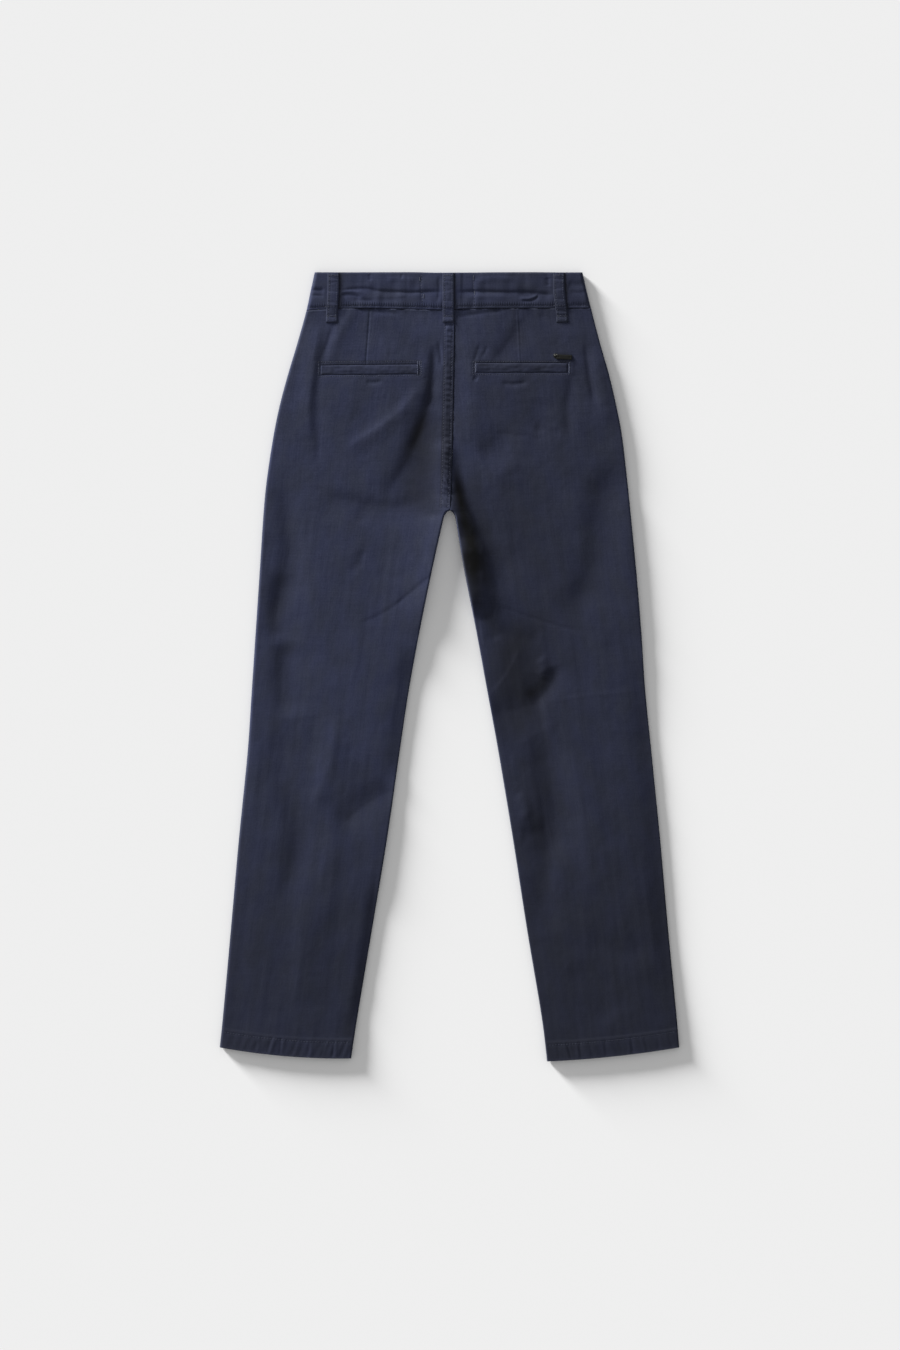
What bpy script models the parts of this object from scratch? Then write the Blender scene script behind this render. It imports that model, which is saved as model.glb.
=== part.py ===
"""Boys' chino trousers in navy twill, laid flat with the back side up.

X runs across the garment, with the wearer's right at +X. Y runs from the hems up to the waist, and Z is up.
The origin is in the middle of the flat underside. Sizes here are in millimetres and turn into metres at the
very end, where a mesh is made. Left and right are the wearer's.

Each piece of cloth is an open surface of rows and columns, thickened inwards. A back panel, and the front
panel under it, curl towards each other at the side seam and the inseam, and end face to face half-way up.
"""

import math
from collections import namedtuple

import bmesh
import bpy
from mathutils import Matrix, Vector
from mathutils.bvhtree import BVHTree

MM = 0.001

# ---------------------------------------------------------------- driving sizes

GAP = 0.3                  # between neighbouring pieces
CLOTH = 1.0                # wall of a panel
BAND_CLOTH = 1.4           # wall of the waistband, which is lined with itself
TRIM_CLOTH = 1.6           # belt loops, folded in four
WELT_CLOTH = 1.0

WAIST_TOP_Y = 433.4        # upper edge of the waistband
WAIST_SEAM_Y = 391.6       # seam between waistband and panels
CROTCH_Y = 171.6           # top of the arch between the legs
ARCH_HEIGHT = 8.0          # depth of the arch's round top
SIDE_HEM_Y = -418.0        # where the hem meets the side seam
LEFT_INSEAM_HEM_Y = -430.1
RIGHT_INSEAM_HEM_Y = -433.4
LEFT_HEM_BOW = 3.5         # how far the hem hangs below a straight line
RIGHT_HEM_BOW = 2.2
HEM_HEIGHT = 20.0
HEM_STEP = 0.7             # the turned hem stands this much higher than the leg
HEM_SLOPE = 1.6
FOLDED_EDGE = 0.5          # how much a folded edge is rounded off

EDGE_Z = 2.5               # height at which back and front meet
BACK_Z = 5.1               # height of the back panels just inside their edges
CROWN = 0.6                # extra height at the middle of a panel
CROWN_FADE = 60.0          # the crown grows over this length below the waist seam
BACK_CURL = 3.6            # width of the back panels' curled edge
FRONT_CURL = 3.0
LIP = 0.35                 # upright strip at a curled edge
BAND_Z = 6.0               # height of the back waistband
BAND_CURL = 4.0
BAND_FRONT_CURL = 3.2

# Half-widths at the side seams, from the middle of the garment, waist to hem.
Side = namedtuple("Side", "y left right")
SIDES = [
    Side(433.4, 148.2, 146.2),
    Side(414.0, 152.4, 150.3),
    Side(391.0, 157.4, 155.7),
    Side(354.0, 167.8, 166.0),
    Side(321.0, 177.7, 175.5),
    Side(288.0, 186.5, 183.2),
    Side(255.0, 193.3, 189.5),
    Side(206.0, 200.8, 195.3),
    Side(172.0, 204.2, 198.8),
    Side(107.0, 208.5, 205.2),
    Side(41.0, 212.9, 210.7),
    Side(-25.0, 217.3, 215.1),
    Side(-91.0, 221.7, 221.7),
    Side(-190.0, 231.6, 231.6),
    Side(-289.0, 240.4, 240.4),
    Side(-388.0, 249.4, 250.0),
    Side(-418.0, 252.5, 252.5),
]

# Distance of the inseams from the middle, crotch to hem.
INSEAMS = [
    Side(172.0, 6.4, 5.2),
    Side(107.0, 19.0, 16.0),
    Side(41.0, 32.5, 29.2),
    Side(-25.0, 44.6, 41.3),
    Side(-91.0, 54.5, 53.4),
    Side(-190.0, 68.8, 69.9),
    Side(-289.0, 85.3, 85.3),
    Side(-388.0, 101.8, 101.8),
    Side(-436.0, 109.0, 107.6),
]

SEAT_SEAM_TOP_X = 6.0      # the seat seam leans from here, at the waist, to the crotch at 0
SEAT_BAND_WIDTH = 12.0     # felled seam allowance, on the left panel
SEAT_BAND_HEIGHT = 0.9
SEAT_BAND_SLOPE = 1.8
SEAT_DIP = 0.7             # the right panel dips under the band's edge
SEAT_DIP_WIDTH = 3.5
CROTCH_FADE = 8.0          # over this length above the crotch the middle seam turns into two curled edges
FRONT_EDGE_X = 4.0         # edge of the left front over the fly
FLY_BOTTOM_Y = 252.0
FLY_WIDTH = 34.0
FLY_CLOTH = 1.0
FLY_CORNER = 28.0          # radius of the J's round corner
FLY_MARGIN = 1.5
FLY_SLOPE = 5.0

SLANT_TOP_INSET = 38.0     # slant pocket: distance from the side seam at the waist
SLANT_BOTTOM_INSET = 5.5   # and at its lower end
SLANT_BOTTOM_Y = 262.0
FACING_DEPTH = 0.5         # the facing lies this much deeper than the panel

# Folds of the back: a soft line through three points, with its half-width and its height or depth.
Fold = namedtuple("Fold", "x1 y1 x2 y2 x3 y3 half_width height")
FOLDS = [
    Fold(-24, 352, -22, 285, -72, 196, 13, -1.1),      # seat, left: trough beside the seam
    Fold(-32, 312, -66, 268, -112, 240, 15, 0.9),      # seat, left: ridge from the seam outwards
    Fold(-138, 366, -149, 320, -141, 198, 9, -1.2),    # left hip: trough past the pocket
    Fold(-162, 352, -160, 318, -157, 262, 10, 0.8),    # left hip: ridge outside it
    Fold(137, 322, 138, 284, 139, 236, 9, -1.2),       # right hip: trough below the pocket's end
    Fold(146, 350, 152, 312, 158, 262, 10, 0.7),       # right hip: ridge outside it
    Fold(10, 232, 34, 150, 48, 78, 16, -1.3),          # right thigh: hollow along the inseam
    Fold(36, 70, 84, 62, 160, 34, 8, 0.9),             # right thigh: crease that ends the hollow
    Fold(-22, 190, -30, 120, -38, 34, 13, 0.9),        # left thigh: ridge along the inseam
    Fold(-26, 98, -62, 66, -112, 44, 7, -0.8),         # left thigh: crease out of the inseam
    Fold(-184, 140, -188, 60, -192, -62, 12, -0.9),    # left thigh: hollow along the side seam
    Fold(172, 212, 140, 120, 120, 50, 16, -0.9),       # right thigh: slanting hollow
    Fold(74, 14, 60, -2, 44, -22, 8, 0.8),             # right knee: short crease
    Fold(112, 10, 104, -10, 98, -26, 15, -1.1),        # right knee: dimple
    Fold(48, -40, 120, -38, 198, -24, 7, -0.8),        # right knee: crease across
    Fold(-64, -144, -80, -152, -96, -166, 9, 0.8),     # left knee: short ridge
    Fold(-140, -130, -136, -156, -128, -190, 15, -0.8),
    Fold(100, -130, 98, -156, 92, -196, 16, -0.9),
    Fold(88, -206, 96, -260, 112, -320, 13, -0.8),
    Fold(-176, -250, -182, -310, -190, -372, 14, 0.7),
    Fold(190, -228, 202, -300, 214, -372, 14, -0.7),
]

# Soft wrinkles of the back waistband, whose elastic draws it in.
BAND_FOLDS = [
    Fold(-118, 413.5, -70, 417.0, -40, 413.0, 3.2, -1.0),
    Fold(-40, 413.0, -22, 413.0, -8, 413.5, 3.0, -0.9),
    Fold(10, 414.5, 50, 416.5, 88, 414.5, 3.2, -1.0),
    Fold(88, 414.5, 102, 413.5, 114, 410.5, 3.0, -1.0),
    Fold(-110, 406.0, -100, 403.5, -88, 404.0, 3.5, 0.5),
    Fold(82, 403.0, 90, 404.5, 97, 409.5, 3.0, 0.6),
    Fold(-70, 424.0, -52, 425.5, -36, 423.0, 4.0, 0.4),
    Fold(28, 424.0, 52, 426.0, 76, 423.5, 4.0, 0.4),
]

Dart = namedtuple("Dart", "top_x bottom_x bottom_y depth half_width")
LEFT_DART = Dart(-87.5, -91.9, 337.0, 0.5, 2.5)
RIGHT_DART = Dart(74.3, 77.1, 337.0, 0.5, 2.5)

Pocket = namedtuple("Pocket", "x y length height rise")
LEFT_POCKET = Pocket(-87.5, 326.3, 113.0, 14.0, 3.0)     # rise: how much its inner end is higher
RIGHT_POCKET = Pocket(79.0, 328.1, 106.0, 14.0, 0.0)
POCKET_DEPTH = 0.8         # the welt lies in a shallow recess
POCKET_SLOPE = 1.8
WELT_HEIGHT = 9.4
WELT_END_MARGIN = 2.6

Loop = namedtuple("Loop", "name top_x bottom_x")
BACK_LOOPS = [
    Loop("loop_back_left", -127.6, -127.6),
    Loop("loop_back_centre", -1.4, -1.2),
    Loop("loop_back_right", 119.9, 123.8),
]
FRONT_LOOPS = [
    Loop("loop_front_left", -80.0, -80.0),
    Loop("loop_front_right", 80.0, 80.0),
]
LOOP_WIDTH = 12.5
LOOP_BOTTOM_Y = 378.4
LOOP_ARCH = 1.0            # how far a loop stands off between its tacks
LOOP_MARGIN = 0.8          # free width beside a front loop and the button
FRONT_LOOP_LIFT = 1.9      # the front band and panel rise this much over a loop
FRONT_LOOP_SLOPE = 6.0

BUTTON_X = -0.6
BUTTON_Y = 412.5
BUTTON_RADIUS = 8.5
BUTTON_HEIGHT = 2.0
BUTTON_LIFT = 2.4
BUTTON_SLOPE = 4.0
BAND_END_X = 14.7          # end of the left front waistband, past the middle

TAG_X, TAG_Y = 126.0, 340.4
TAG_LENGTH, TAG_WIDTH, TAG_HEIGHT = 17.6, 6.0, 0.9
TAG_TILT = math.radians(-3.0)
STUD_X, STUD_Y, STUD_RADIUS, STUD_HEIGHT = 115.4, 342.6, 1.7, 1.1


# ---------------------------------------------------------------- small maths

def smooth(t):
    """0 below 0, 1 above 1, and a soft S between them."""
    t = max(0.0, min(1.0, t))
    return t * t * (3.0 - 2.0 * t)


def mix(a, b, t):
    return a + (b - a) * t


def between(a, b, count):
    """Evenly spaced values between a and b, without either."""
    return [mix(a, b, i / (count + 1)) for i in range(1, count + 1)]


def box_bump(distance, half_width, slope):
    """1 within half_width of 0, falling softly to 0 over slope."""
    return 1.0 - smooth((abs(distance) - half_width) / slope)


def along(table, side, y):
    """The table's width at height y, on a smooth curve through its rows."""
    widths = [row.left if side < 0 else row.right for row in table]
    heights = [row.y for row in table]
    last = len(table) - 1
    k = 0
    while k < last - 1 and y < heights[k + 1]:
        k += 1

    def slope(i):
        low, high = max(i - 1, 0), min(i + 1, last)
        return (widths[high] - widths[low]) / (heights[high] - heights[low])

    step = heights[k + 1] - heights[k]
    t = (y - heights[k]) / step
    if t < 0.0:
        return widths[k] + slope(k) * (y - heights[k])
    if t > 1.0:
        return widths[k + 1] + slope(k + 1) * (y - heights[k + 1])
    a, b = widths[k], widths[k + 1]
    ma, mb = slope(k) * step, slope(k + 1) * step
    return (a * (1 + 2 * t) * (1 - t) ** 2 + b * t * t * (3 - 2 * t)
            + ma * t * (1 - t) ** 2 + mb * t * t * (t - 1))


def fold_height(folds, x, y):
    """Sum of the folds' heights at a point. Each fades out across its line and towards its ends."""
    total = 0.0
    for f in folds:
        reach = 3.0 * f.half_width
        if not (min(f.y1, f.y2, f.y3) - reach < y < max(f.y1, f.y2, f.y3) + reach):
            continue
        nearest, place = 1e9, 0.0
        steps = 10
        for i in range(steps + 1):
            t = i / steps
            px = f.x1 * (1 - t) * (1 - 2 * t) + f.x2 * 4 * t * (1 - t) + f.x3 * t * (2 * t - 1)
            py = f.y1 * (1 - t) * (1 - 2 * t) + f.y2 * 4 * t * (1 - t) + f.y3 * t * (2 * t - 1)
            distance = math.hypot(x - px, y - py)
            if distance < nearest:
                nearest, place = distance, t
        ends = smooth(place / 0.25 + 0.25) * smooth((1.0 - place) / 0.25 + 0.25)
        total += f.height * ends * math.exp(-((nearest / f.half_width) ** 2))
    return total


# ---------------------------------------------------------------- outline

def side_x(side, y):
    return side * along(SIDES, side, y)


def seat_seam_x(y):
    return SEAT_SEAM_TOP_X * max(0.0, (y - CROTCH_Y) / (WAIST_SEAM_Y - CROTCH_Y))


def arch(y):
    """Opens from 0 at the crotch to 1 below its round top."""
    t = min(1.0, max(0.0, (CROTCH_Y - y) / ARCH_HEIGHT))
    return math.sqrt(1.0 - (1.0 - t) ** 2)


def inner_x(side, y, seam_x):
    """Inner edge of a panel: half a gap from the middle seam, and below the crotch the inseam."""
    opening = along(INSEAMS, side, min(y, CROTCH_Y)) * arch(y)
    return seam_x(y) + side * max(opening, GAP / 2)


def to_segment(x, y, ax, ay, bx, by):
    """Distance from a point to the line between a and b."""
    length = (bx - ax) ** 2 + (by - ay) ** 2
    t = max(0.0, min(1.0, ((x - ax) * (bx - ax) + (y - ay) * (by - ay)) / length))
    return math.hypot(x - mix(ax, bx, t), y - mix(ay, by, t))


def inseam_distance(side, x, y):
    """Distance to the curled inner edge of a leg, which starts at the crotch and runs round the arch."""
    if y > CROTCH_Y:
        return math.hypot(x, y - CROTCH_Y)
    if y < CROTCH_Y - 2.0 * ARCH_HEIGHT:
        return abs(x - side * along(INSEAMS, side, y))
    nearest = 1e9
    before = (0.0, CROTCH_Y)
    steps = 14
    for i in range(1, steps + 1):
        arch_y = CROTCH_Y - 3.0 * ARCH_HEIGHT * (i / steps) ** 2
        point = (side * along(INSEAMS, side, arch_y) * arch(arch_y), arch_y)
        nearest = min(nearest, to_segment(x, y, *before, *point))
        before = point
    return nearest


def curl(distance, width):
    """Quarter of an ellipse: 0 at the edge, 1 from width inwards."""
    t = min(distance, width) / width
    return math.sqrt(max(0.0, 1.0 - (1.0 - t) ** 2))


def hem_y(side, x):
    """Lower edge of the leg under the point x."""
    inseam_y = LEFT_INSEAM_HEM_Y if side < 0 else RIGHT_INSEAM_HEM_Y
    outer = abs(side_x(side, SIDE_HEM_Y))
    inner = along(INSEAMS, side, inseam_y)
    f = (outer - abs(x)) / (outer - inner)
    bow = LEFT_HEM_BOW if side < 0 else RIGHT_HEM_BOW
    return mix(SIDE_HEM_Y, inseam_y, f) - bow * 4.0 * f * (1.0 - f)


def hem_relief(side, x, y):
    """The turned hem: a step up, with a soft edge where it was folded."""
    height = y - hem_y(side, x)
    step = HEM_STEP * (1.0 - smooth((height - HEM_HEIGHT) / HEM_SLOPE))
    return step - FOLDED_EDGE * (1.0 - smooth(height / 1.2))


# ---------------------------------------------------------------- heights

def pocket_relief(pocket, side, x, y):
    tilt = pocket.rise / pocket.length * -side
    off_line = (y - pocket.y) - (x - pocket.x) * tilt
    across = box_bump(off_line, pocket.height / 2 - POCKET_SLOPE, POCKET_SLOPE)
    lengthwise = box_bump(x - pocket.x, pocket.length / 2 - POCKET_SLOPE, POCKET_SLOPE)
    return -POCKET_DEPTH * across * lengthwise


def dart_relief(dart, x, y):
    if y < dart.bottom_y:
        return 0.0
    fade = smooth((y - dart.bottom_y) / 8.0)
    return -dart.depth * fade * max(0.0, 1.0 - abs(x - dart_x(dart, y)) / dart.half_width)


def seat_relief(side, x, y):
    """The felled seat seam: the left panel carries the raised band, and the right one dips under its edge."""
    if y < CROTCH_Y:
        return 0.0
    distance = abs(x - seat_seam_x(y))
    fade = smooth((y - CROTCH_Y) / CROTCH_FADE)
    if side < 0:
        inside = distance - SEAT_BAND_WIDTH + SEAT_BAND_SLOPE
        return fade * SEAT_BAND_HEIGHT * (1.0 - smooth(inside / SEAT_BAND_SLOPE))
    return -SEAT_DIP * fade * (1.0 - smooth(distance / SEAT_DIP_WIDTH))


def back_z(side, x, y):
    """Height of a back panel's outer surface, inside its curled edges."""
    outer = side_x(side, y)
    middle = seat_seam_x(y) if y > CROTCH_Y else side * along(INSEAMS, side, y)
    across = min(1.0, max(0.0, (x - outer) / (middle - outer)))
    waist = smooth((WAIST_SEAM_Y - y) / CROWN_FADE)
    plateau = BACK_Z + CROWN * waist * math.sin(math.pi * across) ** 0.7
    plateau += fold_height(FOLDS, x, y) + seat_relief(side, x, y) + hem_relief(side, x, y)
    plateau += pocket_relief(LEFT_POCKET if side < 0 else RIGHT_POCKET, side, x, y)
    plateau += dart_relief(LEFT_DART if side < 0 else RIGHT_DART, x, y)
    distance = min(abs(x - outer), inseam_distance(side, x, y))
    foot = EDGE_Z + GAP / 2 + LIP
    return foot + (plateau - foot) * curl(distance, BACK_CURL)


def loop_lift(x, y):
    lift = 0.0
    for loop in FRONT_LOOPS:
        across = box_bump(x - loop.top_x, LOOP_WIDTH / 2 + LOOP_MARGIN, FRONT_LOOP_SLOPE)
        lift = max(lift, FRONT_LOOP_LIFT * across)
    return lift * smooth((y - LOOP_BOTTOM_Y + 3.0 + FRONT_LOOP_SLOPE) / FRONT_LOOP_SLOPE)


def fly_lift(x, y):
    """The left front rises over the fly placket."""
    across = 1.0 - smooth((FRONT_EDGE_X - FLY_WIDTH - FLY_MARGIN - x) / FLY_SLOPE)
    return (FLY_CLOTH + GAP) * across * smooth((y - FLY_BOTTOM_Y + FLY_SLOPE + FLY_MARGIN) / FLY_SLOPE)


def front_z(side, x, y):
    """Height of a front panel's lower face, inside its curled edges."""
    lift = loop_lift(x, y)
    if side < 0:
        lift = max(lift, fly_lift(x, y))
    distance = inseam_distance(side, x, y)
    if y < SLANT_BOTTOM_Y:
        distance = min(distance, abs(x - side_x(side, y)))
    foot = EDGE_Z - GAP / 2 - LIP
    return foot + (lift - foot) * curl(distance, FRONT_CURL)


# ---------------------------------------------------------------- making meshes

def material(name, colour, roughness, metallic=0.0):
    made = bpy.data.materials.new(name)
    made.use_nodes = True
    shader = made.node_tree.nodes["Principled BSDF"]
    shader.inputs["Base Color"].default_value = (*colour, 1.0)
    shader.inputs["Roughness"].default_value = roughness
    shader.inputs["Metallic"].default_value = metallic
    return made


def add_object(name, mesh, collection, finish):
    made = bpy.data.objects.new(name, mesh)
    mesh.materials.append(finish)
    mesh.shade_smooth()
    collection.objects.link(made)
    return made


def cloth(name, grid, wall, face_up, collection, finish):
    """A wall of cloth from a grid of points in millimetres, thickened away from the side that shows."""
    mesh = bpy.data.meshes.new(name)
    columns = len(grid[0])
    points = [tuple(value * MM for value in point) for row in grid for point in row]
    faces = []
    for r in range(len(grid) - 1):
        for c in range(columns - 1):
            a = r * columns + c
            face = (a, a + 1, a + columns + 1, a + columns)
            faces.append(face if face_up else tuple(reversed(face)))
    mesh.from_pydata(points, [], faces)
    made = add_object(name, mesh, collection, finish)
    solidify = made.modifiers.new("wall", "SOLIDIFY")
    solidify.thickness = wall * MM
    solidify.offset = -1.0
    solidify.use_even_offset = True
    return made


def surface_tree(objects):
    """The evaluated objects as one tree for casting rays."""
    depsgraph = bpy.context.evaluated_depsgraph_get()
    joined = bmesh.new()
    for item in objects:
        mesh = bpy.data.meshes.new_from_object(item.evaluated_get(depsgraph))
        joined.from_mesh(mesh)
        bpy.data.meshes.remove(mesh)
    tree = BVHTree.FromBMesh(joined)
    joined.free()
    return tree


def rest_z(tree, x, y, reach):
    """Highest point of the surface within reach of (x, y), in millimetres."""
    highest = 0.0
    for step_x in (-1, -0.5, 0, 0.5, 1):
        for step_y in (-1, -0.5, 0, 0.5, 1):
            start = Vector(((x + step_x * reach) * MM, (y + step_y * reach) * MM, 1.0))
            hit = tree.ray_cast(start, Vector((0, 0, -1)))[0]
            if hit is not None:
                highest = max(highest, hit.z / MM)
    return highest


# ---------------------------------------------------------------- panels

def leg_row(side, y, seam_x):
    """Both ends of a row, which turns from level at the crotch to the slant of the hem."""
    inseam_y = LEFT_INSEAM_HEM_Y if side < 0 else RIGHT_INSEAM_HEM_Y
    skew = SIDE_HEM_Y - inseam_y
    bow = LEFT_HEM_BOW if side < 0 else RIGHT_HEM_BOW
    hem_middle_y = (SIDE_HEM_Y + inseam_y) / 2
    turned = smooth((CROTCH_Y - y) / (CROTCH_Y - hem_middle_y - 2.0 * HEM_HEIGHT))
    outer_y = y + turned * skew / 2
    inner_y = y - turned * skew / 2
    return outer_y, inner_y, bow * turned, inner_x(side, inner_y, seam_x)


def hem_rows(side, heights):
    """Rows at the given heights above the hem."""
    inseam_y = LEFT_INSEAM_HEM_Y if side < 0 else RIGHT_INSEAM_HEM_Y
    return [(SIDE_HEM_Y + inseam_y) / 2 + height for height in heights]


def row_points(outer_x, outer_y, in_x, in_y, bow, outer_steps, middle, inner_steps):
    """Plan positions along a row: fixed steps in from both edges, and fractions between them."""
    direction = 1.0 if in_x > outer_x else -1.0
    xs = [outer_x + direction * step for step in outer_steps]
    start, end = xs[-1], in_x - direction * inner_steps[-1]
    xs += [mix(start, end, fraction) for fraction in middle]
    xs += [in_x - direction * step for step in reversed(inner_steps)]
    points = []
    for x in xs:
        f = (x - outer_x) / (in_x - outer_x)
        points.append((x, mix(outer_y, in_y, f) - bow * 4.0 * f * (1.0 - f)))
    return points


def curl_steps(width, angles=(35, 65, 90)):
    """Steps in from a curled edge: two for its lip, then round the curl."""
    return [0.0, 0.0] + [width * (1.0 - math.cos(math.radians(a))) for a in angles]


BACK_ROWS_ABOVE = [391.3, 388, 382, 374, 365, 355, 346, 339, 335, 333, 331, 327.5, 324, 321.5, 319.5, 316,
                   308, 298, 286, 273, 259, 245, 230, 215, 201, 190, 182, 177.5, 175.0, 173.2, 172.0]
BACK_ROWS_BELOW = [171.4, 170.4, 168.4, 165.4, 161.5, 156, 147, 135, 120, 104, 88, 72, 56, 40, 22, 4, -14,
                   -32, -52, -78, -106, -134, -162, -190, -220, -250, -280, -310, -340, -368, -388]
HEM_ROWS_ABOVE_EDGE = [22.4, 20.4, 10.0, 1.4, 0.0]


def dart_x(dart, y):
    return mix(dart.bottom_x, dart.top_x, (y - dart.bottom_y) / (WAIST_SEAM_Y - dart.bottom_y))


def back_panel(side, collection, finish):
    """From the waist seam to the hem, from the side seam to the seat seam and the inseam."""
    dart = LEFT_DART if side < 0 else RIGHT_DART
    outer_count = 3 if side < 0 else 4
    outer_steps = curl_steps(BACK_CURL)
    flat_steps = [0.0, 0.5, 6.0, 10.6, 12.4] if side < 0 else [0.0, 0.5, 1.8, 3.6, 12.0]
    grid = []
    for y in BACK_ROWS_ABOVE + BACK_ROWS_BELOW + hem_rows(side, HEM_ROWS_ABOVE_EDGE):
        outer_y, in_y, bow, in_x = leg_row(side, y, seat_seam_x)
        outer_x = side_x(side, outer_y)
        curled = smooth((CROTCH_Y + CROTCH_FADE + 1.0 - y) / CROTCH_FADE)
        inner_steps = [mix(a, b, curled) for a, b in zip(flat_steps, curl_steps(BACK_CURL))]
        if y > dart.bottom_y:
            # Three columns follow the dart, and stay at the same share of the width below it.
            start, end = outer_x - side * outer_steps[-1], in_x + side * inner_steps[-1]
            shares = [(dart_x(dart, y) + side * off - start) / (end - start)
                      for off in (dart.half_width, 0.0, -dart.half_width)]
            middle = between(0.0, shares[0], outer_count) + shares + between(shares[-1], 1.0, 7 - outer_count)
        points = row_points(outer_x, outer_y, in_x, in_y, bow, outer_steps, middle, inner_steps)
        row = [(px, py, back_z(side, px, py)) for px, py in points]
        row[0] = (*points[0], EDGE_Z + GAP / 2)
        foot = mix(back_z(side, *points[-1]) - LIP, EDGE_Z + GAP / 2, smooth((CROTCH_Y + 2.0 - y) / 2.0))
        row[-1] = (*points[-1], foot)
        grid.append(row if side < 0 else row[::-1])
    name = "back_left" if side < 0 else "back_right"
    return cloth(name, grid[::-1], CLOTH, True, collection, finish)


def slant_x(side, y):
    """Edge of the front panel along its slant pocket."""
    t = (WAIST_SEAM_Y - y) / (WAIST_SEAM_Y - SLANT_BOTTOM_Y)
    return side_x(side, y) - side * mix(SLANT_TOP_INSET, SLANT_BOTTOM_INSET, t)


def front_seam_x(y):
    return FRONT_EDGE_X * smooth((y - CROTCH_Y - 20.0) / (FLY_BOTTOM_Y - CROTCH_Y - 20.0))


FRONT_ROWS_ABOVE = [391.3, 384, 375.4, 369.4, 350, 320, 290, 262.2]
FRONT_ROWS_BELOW = [261.8, 250.4, 245.4, 220, 195, 181, 174.5, 172.2, 171.0, 168.5, 163.5, 155, 130, 95, 55,
                    5, -60, -130, -200, -270, -340, -385]


def loop_shares(side, start, end):
    """Shares of a front row at the belt loop's edges. Below the loop they stay as they are there."""
    loop_x = side * abs(FRONT_LOOPS[0].top_x)
    near = LOOP_WIDTH / 2 + LOOP_MARGIN
    far = near + FRONT_LOOP_SLOPE
    return [(loop_x + side * off - start) / (end - start) for off in (far, near, -near, -far)]


def front_panel(side, collection, finish):
    """Flat on the surface, curled up at the side seam and the inseam to meet the back."""
    grid = []
    for y in FRONT_ROWS_ABOVE + FRONT_ROWS_BELOW + hem_rows(side, [0.0]):
        outer_y, in_y, bow, in_x = leg_row(side, y, front_seam_x)
        slanted = y > SLANT_BOTTOM_Y
        outer_x = slant_x(side, outer_y) if slanted else side_x(side, outer_y)
        outer_steps = [0.0, 0.5, 1.5, 3.0] if slanted else curl_steps(FRONT_CURL, (45, 90))
        curled = smooth((CROTCH_Y + CROTCH_FADE + 1.0 - y) / CROTCH_FADE)
        flat_steps = [0.0, 0.5, FLY_WIDTH + FLY_MARGIN, FLY_WIDTH + FLY_MARGIN + FLY_SLOPE]
        inner_steps = [mix(a, b, curled) for a, b in zip(flat_steps, curl_steps(FRONT_CURL, (45, 90)))]
        if y > LOOP_BOTTOM_Y - 10.0:
            middle = loop_shares(side, outer_x - side * outer_steps[-1], in_x + side * inner_steps[-1])
        points = row_points(outer_x, outer_y, in_x, in_y, bow, outer_steps, middle, inner_steps)
        row = [(px, py, front_z(side, px, py)) for px, py in points]
        if not slanted:
            row[0] = (*points[0], EDGE_Z - GAP / 2)
        if curled > 0.0:
            top = mix(front_z(side, *points[-1]), EDGE_Z - GAP / 2, smooth((CROTCH_Y + 2.0 - y) / 2.0))
            row[-1] = (*points[-1], top)
        grid.append(row if side < 0 else row[::-1])
    name = "front_left" if side < 0 else "front_right"
    return cloth(name, grid[::-1], CLOTH, False, collection, finish)


def pocket_facing(side, collection, finish):
    """The piece that shows between the slant pocket's edge and the side seam."""
    grid = []
    top, bottom = WAIST_SEAM_Y - GAP, SLANT_BOTTOM_Y + GAP
    rows = 8
    for i in range(rows + 1):
        y = mix(top, bottom, i / rows)
        outer_x = side_x(side, y)
        in_x = slant_x(side, y) + side * GAP
        points = row_points(outer_x, y, in_x, y, 0.0, curl_steps(FRONT_CURL, (45, 90)), [0.5], [0.0])
        foot = EDGE_Z - GAP / 2 - LIP
        row = []
        for px, py in points:
            z = foot + (FACING_DEPTH - foot) * curl(abs(px - outer_x), FRONT_CURL)
            row.append((px, py, z))
        row[0] = (*points[0], EDGE_Z - GAP / 2)
        grid.append(row if side < 0 else row[::-1])
    name = "pocket_facing_left" if side < 0 else "pocket_facing_right"
    return cloth(name, grid[::-1], CLOTH, False, collection, finish)


def fly(collection, finish):
    """J-shaped placket: straight down the front edge, with a round lower corner."""
    left, right = FRONT_EDGE_X - FLY_WIDTH, FRONT_EDGE_X - GAP
    top, bottom = WAIST_SEAM_Y - GAP, FLY_BOTTOM_Y
    steps = 6
    outline = [(right, top), (left, top)]
    for i in range(steps + 1):
        angle = math.radians(90.0 * i / steps)
        x = left + FLY_CORNER * (1.0 - math.cos(angle))
        outline.append((x, bottom + FLY_CORNER * (1.0 - math.sin(angle))))
    outline.append((right, bottom))
    curve = bpy.data.curves.new("fly", "CURVE")
    curve.dimensions = "2D"
    curve.fill_mode = "BOTH"
    curve.extrude = FLY_CLOTH * MM / 2
    spline = curve.splines.new("POLY")
    spline.points.add(len(outline) - 1)
    for point, (x, y) in zip(spline.points, outline):
        point.co = (x * MM, y * MM, 0.0, 1.0)
    spline.use_cyclic_u = True
    made = bpy.data.objects.new("fly", curve)
    curve.materials.append(finish)
    made.location.z = FLY_CLOTH * MM / 2
    collection.objects.link(made)
    return made


# ---------------------------------------------------------------- waistband

BAND_ROWS = [0.0, 1.2, 4.0, 10.0, 17.0, 20.0, 23.0, 26.5, 33.0, 39.8, 41.3, 41.8]


def band_edges(y):
    """The folded upper edge and the lower edge are rounded off by this much."""
    upper = 0.7 * (1.0 - smooth((WAIST_TOP_Y - y) / 2.0))
    lower = 0.3 * (1.0 - smooth((y - WAIST_SEAM_Y) / 1.2))
    return upper + lower


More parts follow.
